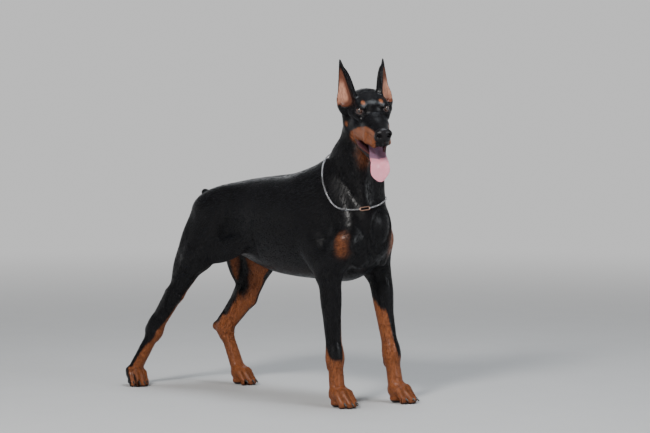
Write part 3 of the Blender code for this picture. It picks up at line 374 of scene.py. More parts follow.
def lid_forms(s):
    centre, gaze, across = eye_frame(s)
    front = centre + gaze * 1.2
    return [
        Spindle(centre - across * 1.75, centre + across * 1.75, (1.55, 1.5), 0.5, side=gaze),
        Spindle(front - across * 1.35, front + across * 1.35, (1.0, 0.68), 0.1, side=gaze, cut=True),
    ]


def head_forms():
    forms = skull_forms() + upper_lip_forms() + jaw_forms() + mouth_forms()
    forms += lower_lip_forms() + nose_forms()
    for name, s in SIDES.items():
        forms += ear_forms(name) + lid_forms(s)
    return forms


def neck_and_chest_forms():
    poll = at_head(-8.6, 0, -2.2)
    forms = [
        Rod((10, 0, 60), (16.5, 0, 70), (6.5, 8.5, 7.5), (5.2, 7.0, 7.5), 6.0),
        Rod((16.8, 0, 70), (19.6, 0, 80), (5.0, 6.8, 6.4), (4.6, 5.6, 5.0), 3.0),
        Rod((19.6, 0, 80), poll, (4.6, 5.4, 4.9), (4.9, 4.4, 4.9), 2.0),
        Rod((20.5, 0, 73.5), (22.8, 0, 56), (4.6, 4.8, 4.0), (6.0, 5.0, 4.0), 4.0),
        Spindle((14, 0, 41), (27.2, 0, 54.5), (5.6, 6.0), 6.0),
    ]
    for s in SIDES.values():
        forms += [
            Spindle((20.5, s * 3.9, 57), (23.4, s * 4.8, 40), 3.6, 1.8),
            Rod(at_head(-9.5, s * 3.9, -7.0), (23.6, s * 3.4, 60), 1.5, 1.5, 1.6),
        ]
    return forms


def foreleg_forms(name):
    joint = {key: vec(*value) for key, value in FORELEG[name].items() if key != "turn"}
    s, top, shoulder, elbow = SIDES[name], joint["top"], joint["shoulder"], joint["elbow"]
    wrist, knuckle = joint["wrist"], joint["knuckle"]
    muscle_end = elbow * 0.45 + wrist * 0.55
    return [
        Spindle(top, shoulder + vec(1, 0, -1), (3.0, 6.2), 3.0),
        Spindle(shoulder + vec(-17, s * -0.5, 6), elbow + vec(2, 0, -2), (3.6, 5.5), 1.6),
        Rod(shoulder, elbow, (3.6, 4.5, 4.5), (3.4, 3.6, 3.6), 2.4),
        Spindle(shoulder + vec(-0.6, s * 1.3, 3.4), shoulder + vec(0.2, s * 1.0, -3.4), (2.7, 2.6), 1.2),
        Rod((9.5, s * 7.0, 63.5), shoulder + vec(-1.6, s * 1.2, 3.0), 0.8, 0.6, 1.8),
        Rod(elbow, wrist, (2.9, 3.3, 3.6), 2.15, 1.5),
        Spindle(elbow + vec(1.2, s * 0.6, 2), muscle_end, (2.6, 3.0), 1.2),
        Spindle(elbow + vec(-3.8, 0, 3), elbow + vec(-1.2, 0, -2), 1.4, 1.5),
        Spindle(wrist + vec(0, 0, 4.0), wrist + vec(0.2, 0, -3.6), (2.5, 2.35), 2.0),
        Rod(wrist, knuckle, (2.15, 2.0, 2.1), (2.6, 2.0, 2.2), 1.2),
        Spindle(wrist + vec(-2.2, 0, -0.8), wrist + vec(-1.8, 0, -4.0), 1.0, 0.8),
    ] + paw_forms(knuckle, FORELEG[name]["turn"], FOREPAW_SIZE)


def hindleg_forms(name):
    joint = {key: vec(*value) for key, value in HINDLEG[name].items() if key != "turn"}
    s, hip, stifle, hock = SIDES[name], joint["hip"], joint["stifle"], joint["hock"]
    shin, heel, knuckle = joint["shin"], joint["heel"], joint["knuckle"]
    seat = vec(-38.6, s * 5.2, 54.0)
    calf = stifle * 0.55 + hock * 0.45 + vec(-0.8, 0, 2)
    depths = SHIN_DEPTHS[name]
    return [
        Spindle((-25, s * 4.5, 60), (-41.4, s * 5.8, 53), (4.0, 5.0), 3.0),
        Rod(hip, stifle, (5.0, 7.2, 6.8), (3.8, 3.9, 4.8), 3.0),
        Spindle(seat, calf, (3.4, 3.6), 3.0),
        Rod(stifle, shin, (3.4, *STIFLE_DEPTHS[name]), (2.6, *depths), 2.0),
        Rod(shin, hock, (2.6, *depths), (1.9, 2.0, 2.0), 1.5),
        Rod(shin + vec(-2.4, 0, 0), heel, 1.2, 1.1, 2.0),
        Rod(hock, heel, (1.7, 1.9, 1.9), 1.35, 1.2),
        Spindle(hock + vec(0.2, 0, 4.0), hock + vec(-0.2, 0, -3.6), (2.05, 2.1), 2.0),
        Rod(hock, knuckle, (1.85, 1.9, 2.0), (2.4, 1.8, 2.0), 1.5),
        Spindle((-19, s * 8.5, 45), stifle + vec(2, 0, 0), (1.2, 3.4), 4.0),
        Spindle((-28.5, s * 6.8, 56.5), stifle + vec(2.6, s * 0.8, 1.0), (2.2, 2.5), 3.0),
        Spindle((-39.2, s * 7.0, 54.5), stifle + vec(-4.6, s * 0.8, 1.0), (2.2, 2.5), 1.6),
    ] + paw_forms(knuckle, HINDLEG[name]["turn"], HINDPAW_SIZE)


def paw_axes(turn):
    a = math.radians(turn)
    return vec(math.cos(a), math.sin(a), 0), vec(-math.sin(a), math.cos(a), 0)


def toes(knuckle, turn, size):
    """Root, bend and tip of each toe; the middle two reach further and arch higher."""
    ahead, across = paw_axes(turn)
    for place in (-1.5, -0.5, 0.5, 1.5):
        middle = abs(place) < 1
        reach = (6.0 if middle else 4.6) * size
        root = knuckle + across * place * 1.25 * size + ahead * 0.4 + vec(0, 0, 0.2)
        drop = 0.2 if middle else 0.7
        bend = knuckle + across * place * 1.55 * size + ahead * reach * 0.55 - vec(0, 0, drop)
        tip = knuckle + across * place * 1.6 * size + ahead * reach
        tip[2] = 1.35
        yield root, bend, tip


def paw_forms(knuckle, turn, size):
    ahead, across = paw_axes(turn)
    instep, pad = knuckle - vec(0, 0, 1.2), knuckle - vec(0, 0, 3.4)
    forms = [
        Spindle(instep - ahead * 2.2 * size, instep + ahead * 3.6 * size, (2.9 * size, 2.3), 1.2,
                side=across),
        Spindle(pad - ahead * 1.6, pad + ahead * 2.4, (2.4 * size, 1.4), 0.6, side=across),
    ]
    for root, bend, tip in toes(knuckle, turn, size):
        sole = tip - vec(0, 0, 0.7)
        forms += [
            Rod(root, bend, 1.2 * size, 1.15 * size, 0.8, side=across),
            Rod(bend, tip, 1.15 * size, 1.0 * size, 0.4, side=across),
            Spindle(sole - ahead * 1.2, sole + ahead * 0.8, (0.98 * size, 0.85), 0.4, side=across),
        ]
    return forms


def body_forms():
    forms = [Trunk(TRUNK, 2.0)] + neck_and_chest_forms()
    for name in SIDES:
        forms += hindleg_forms(name) + foreleg_forms(name)
    forms.append(Rod((-40.8, 0, 58.5), (-43.9, 0, 59.8), 1.8, 1.2, 1.5))
    return forms + head_forms()


def blended(old, new, k, cut):
    """Smooth union of two values, or smooth difference where the new form cuts."""
    if cut:
        h = np.clip(0.5 - 0.5 * (old + new) / k, 0, 1)
        return old * (1 - h) - new * h + k * h * (1 - h)
    h = np.clip(0.5 + 0.5 * (new - old) / k, 0, 1)
    return new * (1 - h) + old * h - k * h * (1 - h)


def reached(form, points, margin=0):
    """Marks the points in the box that a form reaches."""
    return np.all((points > form.low - margin) & (points < form.high + margin), axis=1)


def values_at(forms, points):
    """The value at each point: below zero inside the body, and about the distance near its surface."""
    values = np.full(len(points), OUTSIDE)
    for form in forms:
        near = reached(form, points)
        values[near] = blended(values[near], form.distance(points[near]), form.blend, form.cut)
    return values


def inside_out(points):
    """The body's value at each point, with the floor cutting the soles flat."""
    return np.maximum(values_at(BODY, points), -points[:, 2])


def slope_at(points, nudge=0.04):
    """Gradient of the body's value at each point."""
    parts = []
    for axis in np.eye(3) * nudge:
        parts.append((inside_out(points + axis) - inside_out(points - axis)) / (2 * nudge))
    return np.stack(parts, 1)


BODY = body_forms()

# Skin: how deep it lies inside the solids, stretches of grid lines as (start, end, step), lines in one
# block, how near the surface a block's values are worked out, and rounds that settle the points
COAT_DEPTH = 0.07
GRID = (
    ((-66, -30.3, 0.42), (-30.3, 12, 0.6), (12, 24, 0.36), (24, 45.4, 0.22)),
    ((-19.6, -14.4, 0.4), (-14.4, 5, 0.22), (5, 16.2, 0.4)),
    ((-0.9, 8, 0.3), (8, 62, 0.6), (62, 92, 0.22), (92, 102.5, 0.34)),
)
BLOCK = 4
NEAR = 4.2
SETTLE_ROUNDS = 3


def grid_lines():
    return [np.concatenate([np.arange(*stretch) for stretch in axis]) for axis in GRID]


def block_middles(lines):
    return np.array([lines[i:i + BLOCK + 1].mean() for i in range(0, len(lines), BLOCK)])


def values_near(axes):
    """Values on the grid, worked out only in blocks near the surface, and a mark of those points."""
    middles = [block_middles(lines) for lines in axes]
    spots = np.stack(np.meshgrid(*middles, indexing="ij"), -1).reshape(-1, 3)
    rough = values_at(BODY, spots).reshape([len(m) for m in middles])
    pick = np.ix_(*[np.arange(len(lines)) // BLOCK for lines in axes])
    near = (np.abs(rough) < NEAR)[pick]
    values = np.full(near.shape, OUTSIDE)
    for form in BODY:
        spans = zip(axes, form.low, form.high)
        part = tuple(slice(*np.searchsorted(lines, (low, high))) for lines, low, high in spans)
        here = near[part]
        if not here.any():
            continue
        places = [lines[s][index] for lines, s, index in zip(axes, part, np.nonzero(here))]
        distance = form.distance(np.stack(places, -1))
        values[part][here] = blended(values[part][here], distance, form.blend, form.cut)
    values[~near] = np.where(rough < 0, -OUTSIDE, OUTSIDE)[pick][~near]
    return np.maximum(values, -axes[2]), near


def net(values, near, axes):
    """Quads round the zero level: one vertex in each cell that the surface passes."""
    inside = values < 0
    cells = np.array(values.shape) - 1
    corner = [tuple(slice(c, c + n) for c, n in zip(pick, cells)) for pick in product((0, 1), repeat=3)]
    count = sum(inside[c].astype(np.int8) for c in corner)
    kept = np.logical_and.reduce([near[c] for c in corner])
    cell = np.argwhere((count > 0) & (count < 8) & kept)
    number = np.full(cells, -1)
    number[tuple(cell.T)] = np.arange(len(cell))
    total, hits = np.zeros((len(cell), 3)), np.zeros(len(cell))
    quads = []
    for axis in range(3):
        step = np.eye(3, dtype=int)[axis]
        for pair in product((0, 1), repeat=2):
            start = cell + np.insert(pair, axis, 0)
            first, last = values[tuple(start.T)], values[tuple((start + step).T)]
            crossed = (first < 0) != (last < 0)
            t = np.where(crossed, first / np.where(crossed, first - last, 1), 0)
            place = np.stack([axes[i][start[:, i]] for i in range(3)], 1)
            place[:, axis] += t * (axes[axis][start[:, axis] + 1] - axes[axis][start[:, axis]])
            total[crossed] += place[crossed]
            hits[crossed] += 1
        quads.append(quads_across(axis, inside, number))
    return total / hits[:, None], np.concatenate(quads)


def quads_across(axis, inside, number):
    """One quad for each grid edge along an axis that the surface crosses."""
    b, c = (axis + 1) % 3, (axis + 2) % 3
    first = np.argwhere(np.diff(inside.astype(np.int8), axis=axis) != 0)
    first = first[(first[:, b] > 0) & (first[:, c] > 0)]
    first = first[(first[:, b] < number.shape[b]) & (first[:, c] < number.shape[c])]
    back_b, back_c = np.eye(3, dtype=int)[b], np.eye(3, dtype=int)[c]
    ring = [first, first - back_b, first - back_b - back_c, first - back_c]
    quads = np.stack([number[tuple(r.T)] for r in ring], 1)
    outward = inside[tuple(first.T)]
    quads[~outward] = quads[~outward][:, ::-1]
    return quads[(quads >= 0).all(axis=1)]


def settle(points, level):
    """Moves points along the slope onto a level of the body's value."""
    for _ in range(SETTLE_ROUNDS):
        slope = slope_at(points)
        steep = np.maximum((slope**2).sum(axis=1), 0.05)
        move = ((inside_out(points) - level) / steep)[:, None] * slope
        longest = np.maximum(np.linalg.norm(move, axis=1, keepdims=True) / 0.15, 1)
        points = points - move / longest
    points[:, 2] = np.maximum(points[:, 2], 0)
    return points


def place_of(points):
    """Body points in centimetres as metres of the frame."""
    return np.asarray(points) * CM + SHIFT


def frame_shift():
    """How far the frame's origin lies from the body's own, from where the left eye is."""
    low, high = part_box("eye_left")
    return np.array((low + high) / 2) - eye_frame(SIDES["left"])[0] * CM


SHIFT = frame_shift()


def new_object(name, data):
    obj = bpy.data.objects.new(name, data)
    bpy.context.scene.collection.objects.link(obj)
    return obj


def new_mesh(name, points, faces):
    """A smooth object from body points in centimetres."""
    mesh = bpy.data.meshes.new(name)
    mesh.from_pydata(place_of(points).tolist(), [], [tuple(face) for face in faces])
    mesh.shade_smooth()
    return new_object(name, mesh)


def set_values(obj, name, values):
    """Keeps one number for each vertex under a name that the materials read."""
    attribute = obj.data.attributes.new(name, "FLOAT", "POINT")
    attribute.data.foreach_set("value", np.asarray(values, np.float32))


def ease(values, low, high):
    """0 below low, 1 above high, and smooth between."""
    t = np.clip((values - low) / (high - low), 0, 1)
    return t * t * (3 - 2 * t)


def fade(values, low, high):
    """1 below low, 0 above high, and smooth between."""
    return 1 - ease(values, low, high)


def blot(points, centre, radii, soft=0.35, axes=((1, 0, 0), (0, 1, 0), (0, 0, 1))):
    """1 inside an ellipsoid and 0 outside, with a soft edge."""
    q = (points - np.asarray(centre, float)) @ np.array([unit(a) for a in axes]).T
    r = np.linalg.norm(q / np.asarray(radii, float), axis=1)
    return fade(r, 1 - soft, 1 + soft)


def in_head_axes(points):
    """Points as lengths along the head's forward, left and up from between the eyes."""
    return (points - EYE_LINE) @ np.array((FORWARD, LEFT, UP)).T


def in_jaw_axes(points):
    """Points as they would lie in head axes with the jaw closed."""
    q = in_head_axes(points)
    x, z = q[:, 0] - JAW_HINGE[0], q[:, 2] - JAW_HINGE[1]
    c, s = math.cos(JAW_GAPE), math.sin(JAW_GAPE)
    return np.stack([JAW_HINGE[0] + x * c - z * s, q[:, 1], JAW_HINGE[1] + x * s + z * c], 1)


def nearness(forms, points):
    """Distance to the nearest of some forms, or a large number away from all of them."""
    values = np.full(len(points), OUTSIDE)
    for form in forms:
        near = reached(form, points)
        values[near] = np.minimum(values[near], form.distance(points[near]))
    return values


def on_head(points):
    """1 on the head and ears, 0 on the neck and body."""
    return ease((points - np.array((19.5, -0.75, 81.2))) @ unit((0.51, -0.345, 0.78)), -2.5, 0.5)


# Where the tan of the muzzle ends above: lengths forward and up from between the eyes
MUZZLE_EDGE = (-9.0, -4.4, -0.8, 5.1, 8.0), (-10.5, -7.8, -5.5, -3.1, -2.9)


def tan_on_head(points):
    q, jaw = in_head_axes(points), in_jaw_axes(points)
    f, u = q[:, 0], q[:, 2]
    side = np.abs(q[:, 1])
    edge = np.interp(f, *MUZZLE_EDGE)
    muzzle = ease(f, -7.0, -5.0) * fade(f, 10.2, 11.6) * fade(u, edge - 0.7, edge + 0.7)
    muzzle *= 0.35 + 0.65 * ease(side, 1.3, 2.3)
    below = fade(jaw[:, 2], -11.2, -9.6)
    chin = ease(jaw[:, 0], 7.4, 9.0) * fade(u, -9.0, -8.0)
    # The first and last factors weaken the tan under the jaw and towards the back of the muzzle, so the rust
    # there turns dark brown: painted shade
    muzzle *= (1 - 0.4 * below) * (1 - 0.85 * chin) * (1 - 0.3 * fade(f, -7.0, -3.0))
    spots = []
    for s in SIDES.values():
        spots.append(blot(q, (-1.1, s * 2.65, 1.9), (1.25, 0.62, 1.1), 0.6) * 0.8)
        spots.append(blot(q, (-7.1, s * 5.6, -6.6), (0.9, 1.5, 1.0), 0.6) * 0.6)
    return np.maximum.reduce([muzzle, *spots]) * on_head(points)


def tan_on_body(points, normals):
    """Throat, chest patches, legs and the ring under the tail."""
    x, y, z = points.T
    side = np.sign(y)
    inward, ahead = -normals[:, 1] * side, normals[:, 0]
    # The throat's rust is held at 0.6 so that it shows dark brown: real rust with painted shade under the
    # jaw
    throat = blot(points, (26.5, -4.8, 73.5), (4.5, 3.2, 5.0), 0.7) * 0.6
    chest = np.maximum(blot(points, (22.3, -11.2, 47.2), (2.2, 3.6, 3.6), 1.0) * 0.72,
                       blot(points, (25.3, 7.0, 47.8), (2.7, 4.4, 4.2), 0.9) * 0.8)
    fore = (x > 5) & (z < 36)
    edge = 13.6 + 3.4 * ease(-ahead, -0.5, 0.5) + 13.5 * ease(inward, 0.0, 0.75)
    foreleg = fore * fade(z, edge - 1.6, edge + 1.6)
    hind = (x < -25) & (z < 54)
    bone = ease(z, 20, 44)
    facing = ahead * (1 - 0.35 * bone) + inward * 0.9 + 1.35 * fade(z, 9, 24) - 0.75 - 0.2 * bone
    hindleg = hind * ease(facing, -0.25, 0.25) * fade(z, 48, 53)
    patch = hind * blot(np.stack([x, np.abs(y), z], 1), (-34.5, 7.0, 33.0), (2.4, 4.0, 5.5), 0.7)
    hindleg = hindleg * (1 - 0.9 * patch * ease(inward, 0.0, 0.3))
    vent = blot(points, (-44.0, 0, 54.0), (3.5, 3.2, 4.2))
    return np.maximum.reduce([throat, chest, foreleg, hindleg, vent])


def pencil_marks(points):
    """Dark streaks along the tops of the toes."""
    marks = np.zeros(len(points))
    for knuckle, turn, size in paws():
        for _, bend, tip in toes(knuckle, turn, size):
            streak = Rod(bend + vec(0, 0, 1.3), tip + vec(0, 0, 1.1), 0.32, 0.42, 0.5)
            near = reached(streak, points, margin=1)
            marks[near] = np.maximum(marks[near], fade(streak.distance(points[near]), 0.0, 0.5))
    return marks


def paws():
    """Knuckle, turn and size of each paw."""
    for joints, size in ((FORELEG, FOREPAW_SIZE), (HINDLEG, HINDPAW_SIZE)):
        for joint in joints.values():
            yield vec(*joint["knuckle"]), joint["turn"], size


def pads(points, normals):
    """1 on the pads under the feet and at the backs of the wrists."""
    sole = fade(points[:, 2], 0.5, 1.1) * ease(-normals[:, 2], 0.1, 0.6)
    stops = [vec(*joint["wrist"]) - vec(3.0, 0, 2.6) for joint in FORELEG.values()]
    return np.maximum.reduce([sole, *(blot(points, stop, (0.9, 0.9, 1.0)) for stop in stops)])


EAR_CUTS = [form for name in SIDES for form in ear_forms(name) if form.cut]
EYE_CUTS = [form for s in SIDES.values() for form in lid_forms(s) if form.cut]
MOUTH, LOWER_LIPS = mouth_forms(), lower_lip_forms()
NOSE = [form for form in nose_forms() if not form.cut]


def looks_at(points, normals):
    """What each point of skin shows: amounts of tan, inner ear, bare lip, mouth lining and nose leather."""
    q = in_head_axes(points)
    nose = ease(q[:, 0], 10.9, 11.5) * fade(nearness(NOSE, points), 0.15, 0.4)
    mouth_gap = nearness(MOUTH, points)
    mouth = fade(mouth_gap, 0.12, 0.35)
    lower = fade(nearness(LOWER_LIPS, points), 0.05, 0.3)
    lip = np.maximum(fade(mouth_gap, 0.3, 0.6), lower) * (1 - mouth)
    eye_gap = nearness(EYE_CUTS, points)
    rim = fade(eye_gap, 0.12, 0.3)
    lid = fade(eye_gap, 0.10, 0.22) * fade(q[:, 2], EYE_PLACE[2] - 0.8, EYE_PLACE[2] - 0.4)
    bare = np.maximum.reduce([lip, rim, pads(points, normals)])
    tan = np.maximum(tan_on_head(points), tan_on_body(points, normals)) * (1 - on_ears(points))
    return dict(tan=tan * (1 - 0.4 * pencil_marks(points)), ear=inner_ear(points), bare=bare, lid=lid,
                mouth=mouth, nose=nose)


def inner_ear(points):
    """1 on the pink of the ear's cup: its outer part, short of the tip; lower towards the inner side, where
    the cup gets painted shade.
    """
    amount = np.zeros(len(points))
    for name, cup in zip(SIDES, EAR_CUTS):
        base, tip, axis, _, wide = ear_frame(name)
        medial = -wide * np.sign(SIDES[name] * wide @ LEFT)
        up = (points - base) @ axis / np.linalg.norm(tip - base)
        across = (points - base) @ medial / (EAR_HALF_WIDTH[name] * np.maximum(1 - up, 0.1))
        shown = fade(across, -0.35, 0.6) * fade(up, 0.15, 0.95) * ease(up, -0.22, 0.08)
        amount = np.maximum(amount, shown * fade(nearness([cup], points), 0.05, 0.25))
    return amount


def on_ears(points):
    """1 on the leather of the ears, whose outside is black."""
    amount = np.zeros(len(points))
    for name in SIDES:
        amount = np.maximum(amount, fade(nearness(ear_forms(name)[:3], points), 0.2, 0.6))
    return amount


def lie_of(points):
    """The way the hair lies, before it is laid flat on the skin."""
    x, y, z = points.T
    head, ears = on_head(points)[:, None], on_ears(points)[:, None]
    leg = fade(z, 34, 46)[:, None]
    neck = (ease(x, 8, 18) * ease(z, 44, 60))[:, None]
    thigh = (fade(x, -34, -24) * fade(z, 48, 58))[:, None]
    way = np.tile(vec(-1.0, 0, -0.25), (len(points), 1))
    way = way * (1 - thigh) + vec(-0.5, 0, -0.85) * thigh
    way = way * (1 - neck) + vec(-0.3, 0, -0.95) * neck
    way = way * (1 - leg) + vec(-0.1, 0, -1.0) * leg
    way = way * (1 - head) + (-FORWARD - 0.25 * UP) * head
    for name in SIDES:
        axis = ear_frame(name)[2]
        this = ears * (np.sign(in_head_axes(points)[:, 1]) == SIDES[name])[:, None]
        way = way * (1 - this) + axis * this
    return way


def make_skin():
    """The skin's points, faces, outward directions and the amounts that its looks need."""
    axes = grid_lines()
    values, near = values_near(axes)
    points, quads = net(values + COAT_DEPTH, near, axes)
    points = settle(points, -COAT_DEPTH)
    normals = unit_rows(slope_at(points))
    amounts = looks_at(points, normals)
    amounts["upright"] = upright(points)
    skin = new_mesh("skin", points, quads)
    for name, values in amounts.items():
        set_values(skin, name, values)
    return skin, (points, quads, normals, amounts)


# Coat: tufts and pieces; a tuft's length, width and thickness, how it turns and varies at random, how
# deep its root is and how high it rises; its faces and its corners on the unwrap, whose squares lie in
# columns for the six ways that the skin faces and rows for the parts of the dog
TUFTS, COAT_PIECES, SEED = 72000, 4, 11
TUFT_LENGTH, TUFT_WIDTH, TUFT_THICKNESS = 1.3, 0.13, 0.013
TUFT_TURN, TUFT_VARIES = 0.12, (0.7, 1.15)
ROOT_DEPTH, MIDDLE_RISE, TIP_RISE = 0.03, 0.026, 0.050
TUFT_FACES = ((0, 1, 4, 3), (1, 2, 5, 4), (2, 0, 3, 5), (3, 4, 6), (4, 5, 6), (5, 3, 6), (2, 1, 0))
TUFT_CORNERS = ((-1, -1), (1, -1), (0, -0.8), (-0.7, 0.2), (0.7, 0.2), (0, 0.3), (0, 1))
BAKE_PATCH, UNWRAP_CELLS, UNWRAP_MARGIN = 0.003, 6, 0.03


def tuft_roots(points, quads, normals, amounts):
    """Seeded places on the skin: denser where the form turns, and none on bare skin."""
    draw = np.random.default_rng(SEED)
    corners = points[quads]
    area = np.linalg.norm(np.cross(corners[:, 2] - corners[:, 0], corners[:, 3] - corners[:, 1]), axis=1) / 2
    bare = np.maximum.reduce([amounts[name][quads].max(axis=1) for name in ("bare", "mouth", "nose", "ear")])
    turned = 1 - np.linalg.norm(normals[quads].mean(axis=1), axis=1)
    weight = area * fade(bare, 0.0, 0.3) * (1 + 2.5 * ease(turned, 0.0, 0.01))
    quad = np.sort(draw.choice(len(quads), TUFTS, p=weight / weight.sum()))
    a, b = draw.random((2, TUFTS, 1))
    share = np.stack([(1 - a) * (1 - b), a * (1 - b), a * b, (1 - a) * b], 1)
    roots = (corners[quad] * share).sum(axis=1)
    outward = unit_rows((normals[quads[quad]] * share).sum(axis=1))
    shown = {name: (values[quads[quad]] * share[..., 0]).sum(axis=1) for name, values in amounts.items()}
    return roots, outward, shown, draw


def on_skin(tree, points, rise):
    """Each point moved to the nearest place on the skin, then out by a rise."""
    placed = []
    for point in points.tolist():
        spot, normal, _, _ = tree.find_nearest(point)
        placed.append(spot + normal * rise)
    return np.array(placed)


def part_numbers(points):
    """Which part of the unwrap a point belongs to: trunk, head, or one of the four legs."""
    x, y, z = points.T
    leg = np.where(x > -10, 2, 4) + (y > 0)
    return np.where((z < 40) & ((x > 5) | (x < -25)), leg, np.where(on_head(points) > 0.5, 1, 0))


def unwrap(points, outward):
    """Places of skin points on a square: the skin seen from six sides, each part on its own."""
    part, room = part_numbers(points), 1 - 2 * UNWRAP_MARGIN
    facing = np.argmax(np.abs(outward), axis=1)
    column = 2 * facing + (outward[np.arange(len(points)), facing] > 0)
    places = np.zeros((len(points), 2))
    for number, axis in product(range(UNWRAP_CELLS), range(3)):
        here = (part == number) & (facing == axis)
        if not here.any():
            continue
        whole = points[part == number]
        flat = (points[here] - whole.min(axis=0)) / (whole.max(axis=0) - whole.min(axis=0)).max()
        flat = np.delete(flat, axis, axis=1)
        cell = np.stack([column[here], part[here]], 1)
        places[here] = (cell + UNWRAP_MARGIN + room * flat) / UNWRAP_CELLS
    return places


def make_coat(material, points, quads, normals, amounts):
    """Short tapered tufts laid along the hair, each closed, with its root in the skin."""
    roots, outward, shown, draw = tuft_roots(points, quads, normals, amounts)
    way = lie_of(roots)
    way = unit_rows(way - outward * (way * outward).sum(axis=1, keepdims=True))
    across = np.cross(way, outward)
    turn = draw.normal(0, TUFT_TURN, (TUFTS, 1))
    way, across = way * np.cos(turn) + across * np.sin(turn), across * np.cos(turn) - way * np.sin(turn)
    small = 1 - 0.55 * on_head(roots) - 0.5 * fade(roots[:, 2], 5, 12)
    length = (TUFT_LENGTH * small * draw.uniform(*TUFT_VARIES, TUFTS))[:, None]
    width = TUFT_WIDTH / 2 * np.sqrt(small)[:, None] * across
    thick = TUFT_THICKNESS * outward
    tree = BVHTree.FromPolygons(points.tolist(), quads.tolist())
    middle = on_skin(tree, roots + way * length * 0.5, MIDDLE_RISE)
    tip = on_skin(tree, roots + way * length, TIP_RISE)
    root = roots - outward * ROOT_DEPTH
    shape = np.stack([root + width, root - width, root + thick + ROOT_DEPTH * outward,
                      middle + width * 0.8, middle - width * 0.8, middle + thick, tip], 1)
    places = unwrap(roots, outward)[:, None] + np.array(TUFT_CORNERS) * BAKE_PATCH / 2
    faces = [np.array(face) for face in TUFT_FACES]
    for number, some in enumerate(np.array_split(np.arange(TUFTS), COAT_PIECES)):
        starts = np.arange(len(some)) * len(TUFT_CORNERS)
        rings = [tuple(start + face) for start in starts.tolist() for face in faces]
        piece = new_mesh(f"coat_{number + 1}", shape[some].reshape(-1, 3), rings)
        for name, values in shown.items():
            set_values(piece, name, np.repeat(values[some], len(TUFT_CORNERS)))
        corners = np.concatenate([np.concatenate(faces) + start for start in starts])
        bake = piece.data.uv_layers.new(name="OFBake")
        bake.data.foreach_set("uv", places[some].reshape(-1, 2)[corners].ravel())
        dress(piece, material, "coat_black")


def unit_rows(vectors):
    return vectors / np.maximum(np.linalg.norm(vectors, axis=1, keepdims=True), 1e-9)


def upright(points):
    """How far the hair runs up and down rather than along the body."""
    way = unit_rows(lie_of(points))
    return ease(np.abs(way[:, 2]), 0.4, 0.85)


class Nodes:
    """Short ways to add and join the nodes of a material or a world."""

    def __init__(self, owner):
        owner.use_nodes = True
        self.tree = owner.node_tree

    def node(self, kind, inputs=(), **settings):
        node = self.tree.nodes.new("ShaderNode" + kind)
        for name, value in settings.items():
            setattr(node, name, value)
        for socket, value in dict(inputs).items():
            if isinstance(value, bpy.types.NodeSocket):
                self.tree.links.new(value, node.inputs[socket])
            else:
                node.inputs[socket].default_value = value
        return node

    def amount(self, name):
        """A number kept with each vertex."""
        return self.node("Attribute", attribute_name=name).outputs["Fac"]

    def noise(self, scale, stretch=(1, 1, 1), detail=3.0):
        """Noise with about so many features in a metre, drawn out where stretch is below 1."""
        place = self.node("TexCoord").outputs["Object"]
        spread = self.node("Mapping", {"Vector": place, "Scale": tuple(scale * s for s in stretch)})
        inputs = {"Vector": spread.outputs[0], "Scale": 1.0, "Detail": detail}
        return self.node("TexNoise", inputs).outputs["Fac"]

    def colours(self, amount, first, second):
        """First where the amount is 0, second where it is 1."""
        ends = [(*value, 1) if isinstance(value, tuple) else value for value in (first, second)]
        return self.node("Mix", {0: amount, 6: ends[0], 7: ends[1]}, data_type="RGBA").outputs[2]

    def numbers(self, amount, first, second):
        return self.node("Mix", {0: amount, 2: first, 3: second}).outputs[0]

    def times(self, first, second):
        return self.node("Math", {0: first, 1: second}, operation="MULTIPLY").outputs[0]

    def between(self, value, low, high, first=0.0, last=1.0):
        """First up to low, last from high on, and smooth between."""
        inputs = {"Value": value, "From Min": low, "From Max": high, "To Min": first, "To Max": last}
        return self.node("MapRange", inputs, interpolation_type="SMOOTHSTEP").outputs["Result"]


class Looks(Nodes):
    """A material, whose shader takes constants and then a colour, roughness and normal."""

    def __init__(self, name, roughness=0.5, **constants):
        self.material = bpy.data.materials.new(name)
        super().__init__(self.material)
        self.shader = self.tree.nodes["Principled BSDF"]
        self.shader.inputs["Roughness"].default_value = roughness
        for socket, value in constants.items():
            self.shader.inputs[socket.replace("_", " ")].default_value = value

    def ragged(self, amount, ragged_by, reach=0.5):
        """An amount whose edge is broken up by a noise."""
        moved = self.node("Math", {0: ragged_by, 1: reach, 2: amount}, operation="MULTIPLY_ADD").outputs[0]
        return self.between(moved, 0.16 + reach / 2, 0.84 + reach / 2)

    def bump(self, height, depth, strength=1.0, under=None):
        inputs = {"Height": height, "Distance": depth, "Strength": strength}
        if under is not None:
            inputs["Normal"] = under
        return self.node("Bump", inputs).outputs["Normal"]

    def finish(self, colour=None, roughness=None, normal=None):
        for socket, value in (("Base Color", colour), ("Roughness", roughness), ("Normal", normal)):
            if value is not None:
                self.tree.links.new(value, self.shader.inputs[socket])
        return self.material


# Colours of the hair and the ears, dark and lit, the ears' dark colour being painted shade deep in the cup,
# and of bare skin
BLACK_HAIR, BLACK_HAIR_LIT = (0.0012, 0.001, 0.001), (0.0045, 0.0042, 0.0055)
TAN_HAIR, TAN_HAIR_LIT = (0.10, 0.028, 0.010), (0.32, 0.105, 0.038)
EAR_SKIN, EAR_SKIN_LIT = (0.12, 0.042, 0.024), (0.56, 0.27, 0.18)
LIP, MOUTH_LINING, LEATHER = (0.014, 0.012, 0.014), (0.06, 0.022, 0.028), (0.010, 0.009, 0.010)
LID = (0.075, 0.050, 0.046)


